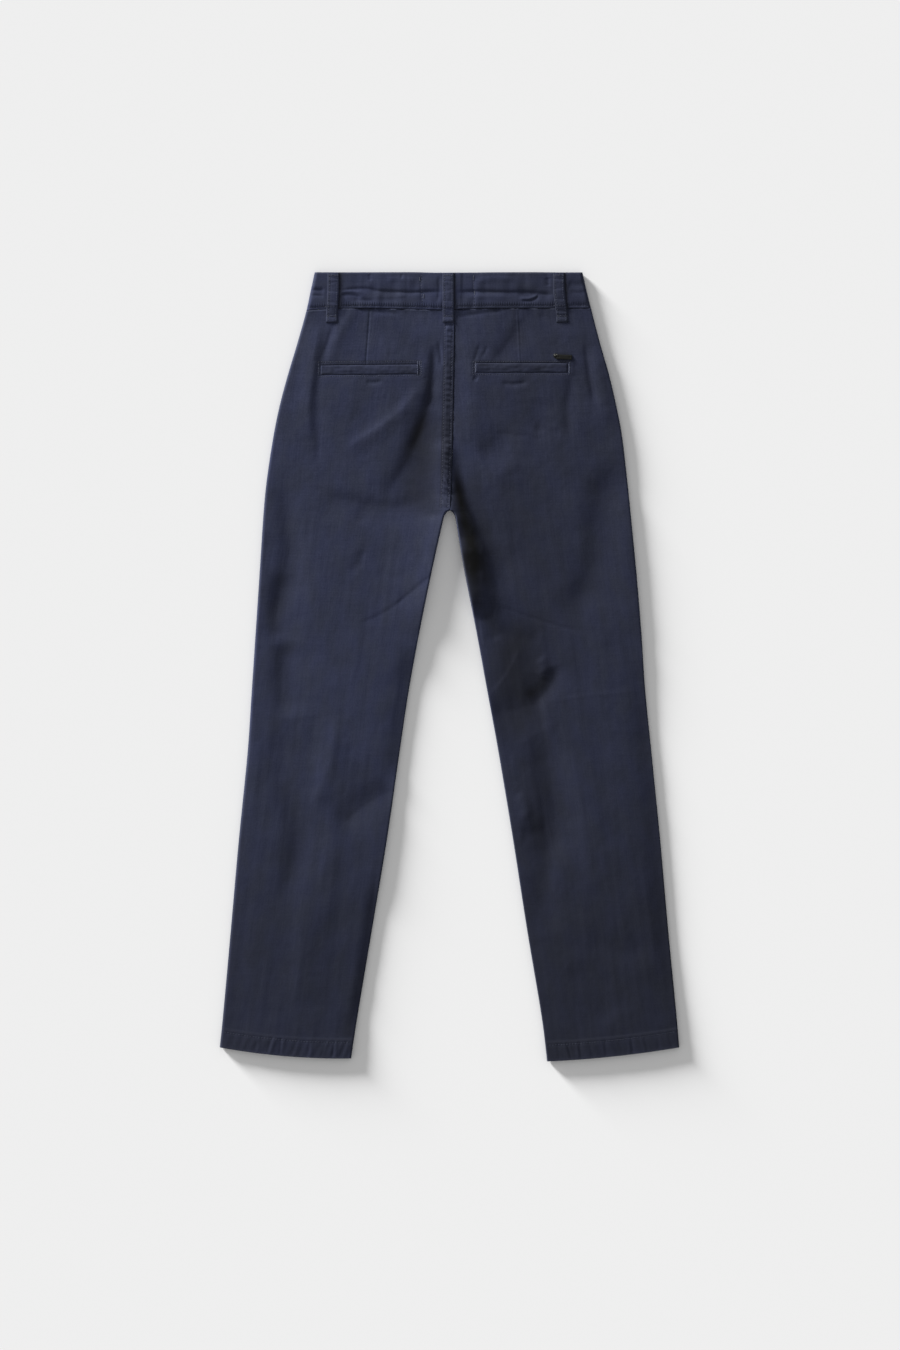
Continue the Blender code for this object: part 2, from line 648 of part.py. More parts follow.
def band_z(x, y):
    """Height of the back waistband's outer surface, inside its curled ends."""
    puckers = 0.16 * math.sin(x / 4.6) * math.sin(x / 17.0 + 1.0) * box_bump(x, 105.0, 15.0)
    seam = 0.35 * box_bump(x - seat_seam_x(y), 5.0, 4.0)
    return BAND_Z + fold_height(BAND_FOLDS, x, y) + puckers + seam - band_edges(y)


def waistband_back(collection, finish):
    angles = (35, 65, 90)
    grid = []
    for height in BAND_ROWS:
        y = WAIST_SEAM_Y + height
        left, right = side_x(-1, y), side_x(1, y)
        steps = curl_steps(BAND_CURL, angles)
        points = row_points(left, y, right, y, 0.0, steps, between(0.0, 1.0, 26), steps)
        foot = EDGE_Z + GAP / 2 + LIP
        row = []
        for px, py in points:
            distance = min(abs(px - left), abs(px - right))
            row.append((px, py, foot + (band_z(px, py) - foot) * curl(distance, BAND_CURL)))
        row[0] = (left, y, EDGE_Z + GAP / 2)
        row[-1] = (right, y, EDGE_Z + GAP / 2)
        grid.append(row)
    return cloth("waistband_back", grid, BAND_CLOTH, True, collection, finish)


def button_lift(x, y):
    across = box_bump(x - BUTTON_X, BUTTON_RADIUS + LOOP_MARGIN, BUTTON_SLOPE)
    return BUTTON_LIFT * across * box_bump(y - BUTTON_Y, BUTTON_RADIUS + LOOP_MARGIN, 6.0)


def waistband_front(side, collection, finish):
    """Flat on the surface, raised over the belt loop and the button."""
    end_x = BAND_END_X if side < 0 else BAND_END_X + GAP
    loop_x = abs(FRONT_LOOPS[0].top_x)
    near = LOOP_WIDTH / 2 + LOOP_MARGIN
    far = near + FRONT_LOOP_SLOPE
    stops = [side * (loop_x + off) for off in (far, near, -near, -far)]
    if side < 0:
        reach = BUTTON_RADIUS + LOOP_MARGIN
        stops += [BUTTON_X + off for off in (-reach - BUTTON_SLOPE, -reach, reach, reach + BUTTON_SLOPE)]
    grid = []
    for height in [0.0, 6.0, 11.7, 21.0, 30.2, 36.5, 41.0, 41.8]:
        y = WAIST_SEAM_Y + height
        outer_x = side_x(side, y)
        steps = curl_steps(BAND_FRONT_CURL, (45, 90))
        xs = [outer_x - side * step for step in steps] + stops + [end_x]
        foot = EDGE_Z - GAP / 2 - LIP
        row = []
        for px in xs:
            lift = max(loop_lift(px, y), button_lift(px, y) if side < 0 else 0.0)
            lift += 0.3 * (1.0 - smooth((WAIST_TOP_Y - y) / 0.8))
            row.append((px, y, foot + (lift - foot) * curl(abs(px - outer_x), BAND_FRONT_CURL)))
        row[0] = (outer_x, y, EDGE_Z - GAP / 2)
        grid.append(row if side < 0 else row[::-1])
    name = "waistband_front_left" if side < 0 else "waistband_front_right"
    return cloth(name, grid, BAND_CLOTH, False, collection, finish)


# ---------------------------------------------------------------- loops, welts, tag, button

def back_loop(loop, tree, collection, finish):
    """A strip from the band's upper edge to its tack on the panel, standing off between them."""
    rows = 13
    grid = []
    for i in range(rows + 1):
        t = i / rows
        y = mix(LOOP_BOTTOM_Y, WAIST_TOP_Y - 0.4, t)
        centre = mix(loop.bottom_x, loop.top_x, smooth(t * 1.3))
        arch_height = LOOP_ARCH * math.sin(math.pi * min(1.0, t / 0.97)) ** 0.6
        base = max(rest_z(tree, centre + across * LOOP_WIDTH / 2, y, 2.2) for across in (-0.7, 0.0, 0.7))
        row = []
        for across in (-1.0, -0.8, 0.0, 0.8, 1.0):
            rounded = -0.5 if abs(across) == 1.0 else 0.0
            z = base + GAP + TRIM_CLOTH + arch_height + rounded
            row.append((centre + across * LOOP_WIDTH / 2, y, z))
        grid.append(row)
    return cloth(loop.name, grid, TRIM_CLOTH - 0.3, True, collection, finish)


def front_loop(loop, collection, finish):
    """Pressed flat under the band."""
    wall = FRONT_LOOP_LIFT - GAP
    grid = []
    for y in (LOOP_BOTTOM_Y, LOOP_BOTTOM_Y + 3.5, WAIST_SEAM_Y, 412.0, WAIST_TOP_Y - 1.0):
        row = []
        for across in (-1.0, -0.8, 0.0, 0.8, 1.0):
            z = 0.4 if abs(across) == 1.0 else 0.0
            row.append((loop.top_x + across * LOOP_WIDTH / 2, y, z))
        grid.append(row)
    return cloth(loop.name, grid, wall - 0.2, False, collection, finish)


def welt(pocket, side, tree, collection, finish):
    """A narrow folded strip in the pocket's recess, crowned along its middle."""
    tilt = pocket.rise / pocket.length * -side
    half = pocket.length / 2 - WELT_END_MARGIN
    columns = 16
    grid = []
    for across, fall in ((-1.0, 0.45), (-0.8, 0.0), (0.0, -0.15), (0.8, 0.0), (1.0, 0.45)):
        row = []
        for i in range(columns + 1):
            x = mix(-half, half, i / columns)
            y = pocket.y + x * tilt + across * WELT_HEIGHT / 2
            base = rest_z(tree, pocket.x + x, pocket.y + x * tilt, WELT_HEIGHT / 2)
            row.append((pocket.x + x, y, base + GAP + WELT_CLOTH - fall))
        grid.append(row)
    return cloth("welt_left" if side < 0 else "welt_right", grid, WELT_CLOTH - 0.2, True, collection, finish)


def tag_bar(tree, collection, finish):
    """Small bare metal bar with rounded corners, lying on the right panel."""
    base = max(rest_z(tree, TAG_X + off, TAG_Y, 3.6) for off in (-6.0, 0.0, 6.0))
    bpy.ops.mesh.primitive_cube_add(size=1.0)
    made = bpy.context.active_object
    made.name = made.data.name = "tag_bar"
    made.data.transform(Matrix.Diagonal((TAG_LENGTH * MM, TAG_WIDTH * MM, TAG_HEIGHT * MM, 1.0)))
    made.location = (TAG_X * MM, TAG_Y * MM, (base + GAP + TAG_HEIGHT / 2) * MM)
    made.rotation_euler.z = TAG_TILT
    bevel = made.modifiers.new("round corners", "BEVEL")
    bevel.width = 0.3 * MM
    bevel.segments = 2
    made.data.materials.append(finish)
    for holder in list(made.users_collection):
        holder.objects.unlink(made)
    collection.objects.link(made)
    return made


def tag_stud(tree, collection, finish):
    base = rest_z(tree, STUD_X, STUD_Y, STUD_RADIUS)
    profile = [(0.0, 1.0), (0.55, 0.95), (0.88, 0.65), (1.0, 0.0), (0.0, 0.0)]
    made = turned("tag_stud", profile, STUD_RADIUS, STUD_HEIGHT, 12, collection, finish)
    made.location = (STUD_X * MM, STUD_Y * MM, (base + GAP) * MM)
    return made


def button(collection, finish):
    """Plain shirt-style button with a raised rim, face down."""
    profile = [(0.0, 1.0), (0.82, 1.0), (1.0, 0.6), (1.0, 0.25), (0.9, 0.0), (0.72, 0.0), (0.62, 0.15),
               (0.0, 0.15)]
    made = turned("button", profile, BUTTON_RADIUS, BUTTON_HEIGHT, 24, collection, finish)
    made.location = (BUTTON_X * MM, BUTTON_Y * MM, 0.0)
    return made


def turned(name, profile, radius, height, sides, collection, finish):
    """A profile in shares of the radius and height, top to bottom, turned about Z."""
    mesh = bpy.data.meshes.new(name)
    points = [(out * radius * MM, 0.0, up * height * MM) for out, up in profile]
    mesh.from_pydata(points, [(i, i + 1) for i in range(len(points) - 1)], [])
    made = add_object(name, mesh, collection, finish)
    screw = made.modifiers.new("turn", "SCREW")
    screw.axis = "Z"
    screw.steps = screw.render_steps = sides
    screw.use_merge_vertices = True
    screw.merge_threshold = 0.00001
    return made


# ---------------------------------------------------------------- the garment

def main():
    for item in list(bpy.data.objects):
        bpy.data.objects.remove(item)
    garment = bpy.data.collections.new("chino_trousers")
    bpy.context.scene.collection.children.link(garment)

    twill = material("navy_twill", (0.030, 0.036, 0.066), 0.85)
    horn = material("dark_horn", (0.020, 0.020, 0.026), 0.40)
    gunmetal = material("gunmetal", (0.050, 0.052, 0.050), 0.45, 0.8)

    backs = [back_panel(side, garment, twill) for side in (-1, 1)]
    band = waistband_back(garment, twill)
    for side in (-1, 1):
        front_panel(side, garment, twill)
        pocket_facing(side, garment, twill)
        waistband_front(side, garment, twill)
    fly(garment, twill)
    button(garment, horn)
    for loop in FRONT_LOOPS:
        front_loop(loop, garment, twill)

    tree = surface_tree(backs + [band])
    for loop in BACK_LOOPS:
        back_loop(loop, tree, garment, twill)
    welt(LEFT_POCKET, -1, tree, garment, twill)
    welt(RIGHT_POCKET, 1, tree, garment, twill)
    tag_bar(tree, garment, gunmetal)
    tag_stud(tree, garment, gunmetal)


main()
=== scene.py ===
import math
from collections import namedtuple

import bmesh
import bpy
import numpy as np
from mathutils import Matrix, Vector
from mathutils.bvhtree import BVHTree


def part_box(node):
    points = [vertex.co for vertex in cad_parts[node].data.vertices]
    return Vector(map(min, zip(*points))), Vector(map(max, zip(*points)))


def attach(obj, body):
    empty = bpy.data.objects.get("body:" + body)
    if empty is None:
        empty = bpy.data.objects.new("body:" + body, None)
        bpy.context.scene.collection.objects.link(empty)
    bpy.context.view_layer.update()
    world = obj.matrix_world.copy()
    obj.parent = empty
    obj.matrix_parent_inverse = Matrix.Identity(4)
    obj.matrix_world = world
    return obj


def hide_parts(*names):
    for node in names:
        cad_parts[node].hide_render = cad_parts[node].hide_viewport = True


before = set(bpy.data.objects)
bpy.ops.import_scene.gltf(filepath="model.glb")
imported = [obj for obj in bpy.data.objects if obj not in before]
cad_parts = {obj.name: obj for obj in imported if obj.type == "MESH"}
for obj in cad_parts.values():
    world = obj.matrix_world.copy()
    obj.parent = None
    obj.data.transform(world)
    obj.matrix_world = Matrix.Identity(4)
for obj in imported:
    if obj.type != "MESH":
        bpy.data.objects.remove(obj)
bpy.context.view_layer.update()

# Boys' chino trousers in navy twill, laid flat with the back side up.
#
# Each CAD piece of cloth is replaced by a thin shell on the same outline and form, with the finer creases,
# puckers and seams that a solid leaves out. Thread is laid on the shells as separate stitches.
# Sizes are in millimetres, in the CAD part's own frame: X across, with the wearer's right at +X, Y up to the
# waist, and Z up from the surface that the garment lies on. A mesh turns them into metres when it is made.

MM = 0.001
BODY = "root"
SIDE_WORDS = {-1: "left", 1: "right"}      # the wearer's left is at -X

# ---------------------------------------------------------------- the solids' own sizes

GAP = 0.3
WAIST_TOP_Y = 433.4
WAIST_SEAM_Y = 391.6
CROTCH_Y = 171.6
ARCH_HEIGHT = 8.0
SIDE_HEM_Y = -418.0
INSEAM_HEM_Y = {-1: -430.1, 1: -433.4}
HEM_MIDDLE_Y = {side: (SIDE_HEM_Y + inseam_y) / 2 for side, inseam_y in INSEAM_HEM_Y.items()}
HEM_BOW = {-1: 3.5, 1: 2.2}
HEM_HEIGHT = 20.0
HEM_STEP = 0.3
HEM_SLOPE = 3.0

EDGE_Z = 2.5
BACK_Z = 5.1
LOWEST_BACK_Z = 2.6        # the deepest trough stays above the front panel
CROWN = 0.6
CROWN_FADE = 60.0
OUTER_CURL = {-1: 3.0, 1: 1.5}        # the right side seam is pressed more sharply
INNER_CURL = 1.4
FRONT_CURL = 3.0
LIP = 0.35                 # a curled edge meets its neighbour with this much of an upright wall
BACK_EDGE_Z = EDGE_Z + GAP / 2
BACK_FOOT_Z = BACK_EDGE_Z + LIP
FRONT_EDGE_Z = EDGE_Z - GAP / 2
FRONT_FOOT_Z = FRONT_EDGE_Z - LIP
BAND_Z = 6.0
BAND_CURL = 4.0
BAND_FRONT_CURL = 3.2

Side = namedtuple("Side", "y left right")
SIDES = [Side(*row) for row in [
    (433.4, 148.2, 146.2),
    (414.0, 152.4, 150.3),
    (391.0, 157.4, 155.7),
    (354.0, 167.8, 166.0),
    (321.0, 177.7, 175.5),
    (288.0, 186.5, 183.2),
    (255.0, 193.3, 189.5),
    (206.0, 200.8, 195.3),
    (172.0, 204.2, 198.8),
    (107.0, 208.5, 205.2),
    (41.0, 212.9, 210.7),
    (-25.0, 217.3, 215.1),
    (-91.0, 221.7, 221.7),
    (-190.0, 231.6, 231.6),
    (-289.0, 240.4, 240.4),
    (-388.0, 249.4, 250.0),
    (-418.0, 252.5, 252.5),
]]
INSEAMS = [Side(*row) for row in [
    (172.0, 4.6, 5.2),
    (107.0, 19.0, 16.0),
    (41.0, 32.5, 29.2),
    (-25.0, 44.6, 41.3),
    (-91.0, 54.5, 53.4),
    (-190.0, 68.8, 69.9),
    (-289.0, 85.3, 85.3),
    (-388.0, 101.8, 101.8),
    (-436.0, 109.0, 107.6),
]]

SEAT_SEAM_TOP_X = 5.8
SEAT_BAND_WIDTH = 12.0
SEAT_BAND_HEIGHT = 0.4
SEAT_BAND_SLOPE = 4.0
SEAT_BAND_SHADE = ((172, 0.30), (190, 0.32), (205, 0.42), (225, 0.55), (250, 0.60), (290, 0.48), (330, 0.42),
                   (350, 0.25), (368, 0.04))        # height, and how much darker the band is painted, as painted shade and its own darker colour
SEAT_DIP = 0.12
SEAT_DIP_WIDTH = 2.0
CROTCH_FADE = 8.0
FRONT_EDGE_X = 4.0
FLY_BOTTOM_Y = 252.0
FLY_WIDTH = 34.0
FLY_CLOTH = 1.0
FLY_CORNER = 28.0
FLY_MARGIN = 1.5
FLY_SLOPE = 5.0
SLANT_TOP_INSET = 38.0
SLANT_BOTTOM_INSET = 5.5
SLANT_BOTTOM_Y = 262.0
FACING_DEPTH = 0.5

Dart = namedtuple("Dart", "top_x bottom_x bottom_y depth half_width")
DARTS = {-1: Dart(-87.5, -91.9, 334.5, 0.32, 1.5), 1: Dart(74.3, 77.1, 335.0, -0.2, 1.5)}
Pocket = namedtuple("Pocket", "x y length rise frame_rise frame_half")      # y is the welt's middle
POCKETS = {-1: Pocket(-87.5, 326.5, 113.0, 1.2, 1.2, 8.0), 1: Pocket(79.0, 328.6, 106.0, 0.0, 0.0, 7.1)}
POCKET_DEPTH = 0.45
WELT_HEIGHT = 10.2
WELT_END_MARGIN = 2.6

Loop = namedtuple("Loop", "name top_x bottom_x creases")
BACK_LOOPS = [
    Loop("loop_back_left", -127.6, -129.4, (427.0, 422.4, 412.5, 400.4, 387.2)),
    Loop("loop_back_centre", -1.4, -1.2, (424.0, 413.6, 402.0, 392.6)),
    Loop("loop_back_right", 119.9, 123.8, (426.0, 416.0, 404.0, 391.0)),
]
FRONT_LOOPS = [
    Loop("loop_front_left", -80.0, -80.0, ()),
    Loop("loop_front_right", 80.0, 80.0, ()),
]
LOOP_WIDTH = 12.5
LOOP_BOTTOM_Y = 378.4
LOOP_TOP_Y = WAIST_TOP_Y - 0.4     # of the back loops
LOOP_PAINTED_SHADOW_REACHES = (4.2, 2.0, 2.2)      # how far right of each back loop its shadow is painted on the band
LOOP_PAINTED_SHADOW = 0.65                  # how much darker that painted shadow is at the loop
LOOP_EDGE_PAINTED_SHADE = 0.42              # and the painted shade along a back loop's own edges and lower end
LOOP_ARCH = 0.1
LOOP_MARGIN = 0.8
FRONT_LOOP_LIFT = 1.9
FRONT_LOOP_SLOPE = 6.0

TAG_LENGTH = 17.4
TAG_WIDTH = 5.4
TAG_THICKNESS = 0.9
TAG_TILT = -3.0            # degrees
STUD_RADIUS = 2.5
STUD_HEIGHT = 1.1
HARD_LIFT = 0.1            # of the tag and its stud over the cloth
BUTTON_X = -0.6
BUTTON_Y = 412.5
BUTTON_RADIUS = 8.5
BUTTON_THICKNESS = 2.0
HOLE_RADIUS = 0.95
HOLE_DEPTH = 6.0
HOLE_INSET = 1.9           # of the button's four holes from its middle lines
BUTTON_LIFT = 2.4
BUTTON_SLOPE = 4.0
BAND_END_X = 14.7

# ---------------------------------------------------------------- sizes of the shells

PANEL_WALL = 0.6           # the twill's real thickness
BAND_WALL = 1.2
LOOP_WALL = 1.1
LOOP_SHELL = 0.5           # of a back loop, pressed onto the band
WELT_WALL = 0.45

# Creases of the back. A fold is a soft line through its points, from the first to the last; near is its
# half-width on the left of that way, far on the right, and either may be a pair, for the two ends. height is
# above 0 for a ridge and below for a trough. soft is 2 for a rounded crest, and nearer 1 for a crisp one.
Fold = namedtuple("Fold", "points near far height soft", defaults=[2])
FOLDS = [Fold(*row) for row in [
    # left of the seat seam
    ([(-17.5, 354), (-18, 333), (-19, 313), (-21.5, 297), (-26, 281)], 7, 3.9, -1.4, 1.7),
    ([(-19.5, 304), (-24, 283), (-29, 267), (-35, 251), (-43, 236)], 17, 7.5, -1.5, 1.8),
    ([(-33, 250), (-41, 230), (-49, 215), (-61, 199), (-76, 184)], 27, 11, -1.1, 1.9),
    ([(-31, 309), (-44, 292), (-58, 277), (-75, 264), (-98, 249), (-115, 238)], 10, 5.5, 0.75, 1.8),
    ([(-12, 358), (-10, 345), (-8.6, 330)], 1.8, 2.4, -0.55, 1.6),
    ([(-143, 188), (-104, 180), (-62, 175), (-24, 181)], 9, 18, -0.95),
    ([(-88, 180), (-95, 170), (-100, 156)], 7, 7, -0.35),
    # left hip
    ([(-127, 378), (-132.5, 361), (-136.5, 350), (-141, 339), (-144.5, 325), (-146, 308)],
     6, 2.2, -0.42, 1.6),
    ([(-120, 380), (-127, 357), (-132, 334)], 7, 6, 0.4, 1.8),
    ([(-142.5, 326), (-146, 300), (-145.5, 262), (-144, 220)], 8, 4.0, -0.42, 1.7),
    ([(-142, 378), (-148, 346), (-152, 315), (-155, 282), (-153, 246)], 5, 10, 0.85, 1.8),
    ([(-104, 393), (-115, 374), (-126, 352)], 10, 5.5, 0.5, 1.8),
    ([(-102, 322), (-108, 300), (-106, 270)], 14, 14, 0.3),
    # right of the seat seam
    ([(19, 384), (23, 330), (24, 284), (21, 236)], 16, 13, 0.8),
    ([(70, 262), (56, 249), (44, 238), (32, 232)], 14, 12, -0.8),
    ([(78, 228), (62, 217), (46, 206)], 8, 9, 0.4),
    ([(84, 381), (71, 363), (55, 343), (47, 335)], 15, 8, -0.85, 1.6),
    ([(33, 354), (30, 344), (26.5, 334)], 2.4, 2.0, -0.32, 1.6),
    ([(42, 353), (38.5, 345), (35, 340)], 2.4, 2.0, -0.28, 1.6),
    ([(46, 258), (75, 255), (110, 250)], 2.4, 3.4, -0.14, 1.6),
    ([(100, 296), (98, 276), (104, 258)], 14, 14, -0.35),
    ([(92, 262), (108, 258), (124, 256)], 6, 8, -0.45),
    # right hip
    ([(149, 358), (151, 340), (154.5, 315), (159, 288)], 6, 3, -0.75, 1.6),
    ([(136, 326), (132, 303), (129.5, 280), (131, 262), (136, 249)], 8, 6, -0.75, 1.9),
    ([(160, 352), (166, 312), (172, 262)], 9, 9, 0.6),
    ([(194, 226), (180, 208), (170, 190), (164, 168), (162, 146), (160, 120), (154, 95), (141, 73),
      (118, 57)], 22, 15, -1.4),
    ([(196, 190), (198, 120), (202, 50)], 9, 12, 0.4),
    # the crotch, where four seams cross: the cloth climbs to it from the left, stands highest under them, and
    # on the right leg stays high along the edge and drops away into a long hollow that widens downwards
    ([(-3, 252), (-3.5, 226), (-4, 204), (-3.5, 186), (-1, 168)], (7, 17), (16, 24), 2.0, 2.2),
    ([(-3, 190), (-4, 172), (-8, 140), (-15.5, 104), (-22, 72), (-29, 38)], 10, 18, 3.2, 1.7),
    ([(-4, 178), (-15, 130), (-28, 70), (-40, 10), (-47, -24)], 12, 36, 1.0),
    ([(0, 190), (5, 168), (9.5, 148), (15, 122), (20, 98), (25, 76), (31, 52)], (15, 30), 9, 4.6, 1.8),
    ([(11, 142), (15, 122), (20, 98), (25, 76), (30, 56)], 27, 9, 2.0, 1.8),
    ([(5, 222), (14, 196), (26, 168), (40, 138), (50, 111), (53, 88), (51, 66)], (6, 26), (4, 13), -2.0, 1.8),
    ([(60, 204), (72, 150), (74, 100)], 26, 18, -0.6),
    # right thigh, below the crotch
    ([(46, 67.5), (57, 65.5), (66, 63), (82, 57), (104, 50), (128, 43), (146, 39.5)], 1.8, 2.4, -0.24, 1.4),
    ([(30, 70), (40, 67), (52, 64)], 3, 7, -1.3, 1.5),
    ([(36, 58), (45, 46), (53, 28)], 7, 7, -0.6),
    ([(52, 40), (76, 34), (100, 28)], 9, 9, -0.5),
    # left thigh
    ([(-16, 103.5), (-30, 92.5), (-42.5, 82), (-60.5, 67.5)], 5.0, 2.1, -0.36, 1.4),
    ([(-48, 77.5), (-62, 66.5), (-80.5, 55.5), (-102, 47)], 5.0, 2.0, -0.22, 1.4),
    ([(-80, 107), (-62, 99), (-44, 102)], 5, 6, -0.2),
    ([(-94, 130), (-100, 114), (-108, 102)], 5, 6, -0.4),
    ([(-182, 204), (-179, 178), (-177, 152), (-175, 126), (-180, 96), (-187, 66), (-190, 42)],
     14, 11, -1.4, 1.9),
    ([(-182, 104), (-188, 66), (-190, 24)], 20, 10, -1.1, 1.9),
    ([(-178, 30), (-181, 5), (-183, -20), (-179, -56)], 26, 11, -1.3, 1.9),
    ([(-190, 34), (-178, 46), (-158, 58)], 9, 5, -0.16, 1.8),
    # right knee
    ([(78, 22), (71, 7), (63, -8), (54, -20), (44, -31)], 10, 1.9, 0.25, 1.4),
    ([(112.5, 1), (114.5, -6), (113.5, -14), (109.5, -22), (100, -33), (89, -40)], 9, 13, -1.3, 1.5),
    ([(98, 10), (102, 4), (104, -4), (101, -14)], 6, 6, 0.7),
    ([(104, -38), (84, -44), (64, -48), (46, -53)], 28, 18, -1.6, 1.5),
    ([(98, -38), (124, -36), (156, -31), (208, -27)], 3.0, 2.2, 0.12, 1.4),
    # left knee
    ([(-56, -134), (-74, -140), (-95, -153), (-122, -176)], 15, 22, -1.6, 1.5),
    ([(-108, -82), (-102, -104), (-96, -128)], 12, 12, -0.3),
    ([(-120, -50), (-128, -90), (-140, -134), (-154, -156)], 10, 8, 0.55),
    # shins
    ([(90, -76), (103, -98), (112, -126), (116, -152), (114, -180), (108, -216)], 22, 21, -1.9, 1.7),
    ([(78, -182), (92, -182), (110, -178)], 8, 10, -0.6, 1.8),
    ([(74, -140), (82, -148), (85, -159), (78, -169)], 6, 6, 0.5, 1.9),
    ([(107, -180), (108, -215), (103, -250), (112, -296)], 12, 14, -0.9),
    ([(128, -60), (136, -100), (150, -160), (158, -250)], 18, 12, 0.5),
    ([(-182, -50), (-184, -110), (-177, -158), (-167, -194), (-176, -232), (-190, -266)], 16, 14, -0.9),
    ([(-158, -50), (-161, -110), (-164, -170), (-172, -230), (-182, -262)], 26, 14, -0.6),
    ([(-211, -78), (-215, -132), (-220, -168)], 6, 7, 0.4),
    ([(-112, -240), (-124, -310), (-136, -386)], 16, 13, -0.25),
    ([(-154, -250), (-160, -310), (-168, -372)], 14, 12, 0.4),
    ([(-126, -170), (-132, -226), (-142, -300)], 10, 12, 0.5),
    ([(150, -300), (190, -312), (224, -306)], 16, 12, -0.6),
    ([(128, -330), (158, -350), (178, -392)], 12, 12, -0.5),
    # the legs roll under along their right-hand edges
    ([(-37, 22), (-48, -50), (-58, -132)], 4, 14, -1.4),
    ([(-79, -236), (-86, -290), (-95, -350), (-104, -404)], 4, 6.5, -1.3),
    ([(212, 4), (219, -80), (229, -180), (239, -280), (249, -384)], 4, 16, -1.5),
    # just under the waistband
    ([(4, 384.0), (18, 384.6), (31, 386.0), (45, 387.6), (64, 390)], 1.8, 1.9, -0.5, 1.5),
    ([(-86, 387.6), (-70, 387.2), (-54, 385.4)], 1.6, 1.8, -0.35, 1.5),
    ([(-104, 391), (-86, 389), (-70, 388.5), (-55, 386.5)], 2, 2.4, -0.4, 1.6),
    ([(98, 386), (110, 380), (118, 372)], 4, 4, -0.3),
    # dimples under the pockets
    ([(-92, 313.5), (-84, 312.5), (-74, 314)], 2.4, 3, -0.45, 1.6),
    ([(57, 312), (70, 311), (86, 313)], 2.2, 3, -0.55, 1.6),
    ([(26, 318), (31, 316)], 3, 3, -0.5, 1.8),
]]

# Painted shade: lines along which the cloth's colour is painted darker where shade and shadow fall, down in
# the creases and the long hollow right of the crotch, beside the seat seam, by the pockets and around the
# tag.
# Height is the share of the light that it takes away.
PAINTED_SHADE_LINES = [Fold(*row) for row in [
    ([(5, 236), (8.5, 210), (14, 186), (20, 158), (27, 132), (33, 106), (41, 58)],
     (4, 15), (4, 15), 0.52, 3.0),
    ([(5, 216), (8, 194), (13, 170), (20, 144), (25, 116), (30, 88)], (5, 12), (6, 16), 0.50, 2.6),
    ([(24, 216), (29, 186), (34, 158), (41, 130), (46, 102)], (9, 13), 9, 0.36, 2.4),
    ([(12, 134), (18, 108), (25, 84), (32, 56)], 8, 10, 0.34, 2.4),
    ([(60, 212), (72, 170), (80, 130), (84, 92)], 30, 30, 0.12, 2.4),
    ([(-26, 290), (-30, 246), (-28, 206), (-34, 160)], 18, 20, 0.55, 2.4),
    ([(40, 64), (46, 50), (52, 32)], 8, 8, 0.15),
    ([(8.5, 386), (8.0, 330), (7.0, 280), (6.0, 236)], 10, 3, 0.20),
    ([(-21, 344), (-23, 304), (-29, 272), (-40, 246), (-53, 222), (-67, 202)], 4, (5, 9), 0.28),
    ([(-30, 350), (-52, 364), (-82, 378)], 9, 8, 0.10),
    ([(84, 372), (66, 358), (48, 342)], 9, 9, 0.14),
    ([(70, 360), (100, 356), (124, 352)], 9, 10, 0.10),
    ([(31, 332), (44, 331.6)], 1.9, 1.9, 0.35, 3),
    ([(116, 342.3), (134, 341.4)], 3.8, 4.0, 0.38, 4),
    ([(108, -6), (103, -18), (94, -27), (82, -32)], 5, 7, 0.28),
    ([(66, 40), (70, 10), (72, -20), (72, -44)], 20, 20, 0.18, 2.2),
    ([(70, 66), (72, 20), (75, -32), (80, -96)], 36, 34, 0.35, 3.0),
    ([(86, -80), (94, -110), (97, -140), (98, -176), (93, -226)], 13, 14, 0.30, 2.4),
    ([(70, 196), (96, 130), (106, 76), (92, 20), (80, -60)], 44, 44, 0.13),
    ([(-112, -376), (-110, -410)], 5, 9, 0.25),
    ([(-66, -128), (-92, -138), (-112, -150)], 5, 18, 0.14),
    ([(-186, 130), (-190, 60), (-192, 0), (-190, -60), (-184, -130), (-174, -200)], 10, 10, 0.12),
    ([(-166, -60), (-168, -140), (-174, -240)], 12, 12, 0.10),
]]

# Painted light and shade in the cloth's colour: lighter by the waist and darker towards the hems and to the
# right, as the light falls off from the upper left, and darker in the hollows where shade falls.
WAIST_PAINTED_LIGHTER = 0.13
HEMS_PAINTED_DARKER = 0.40
RIGHT_PAINTED_DARKER = 0.27
HOLLOWS_PAINTED_DARKER = 0.24

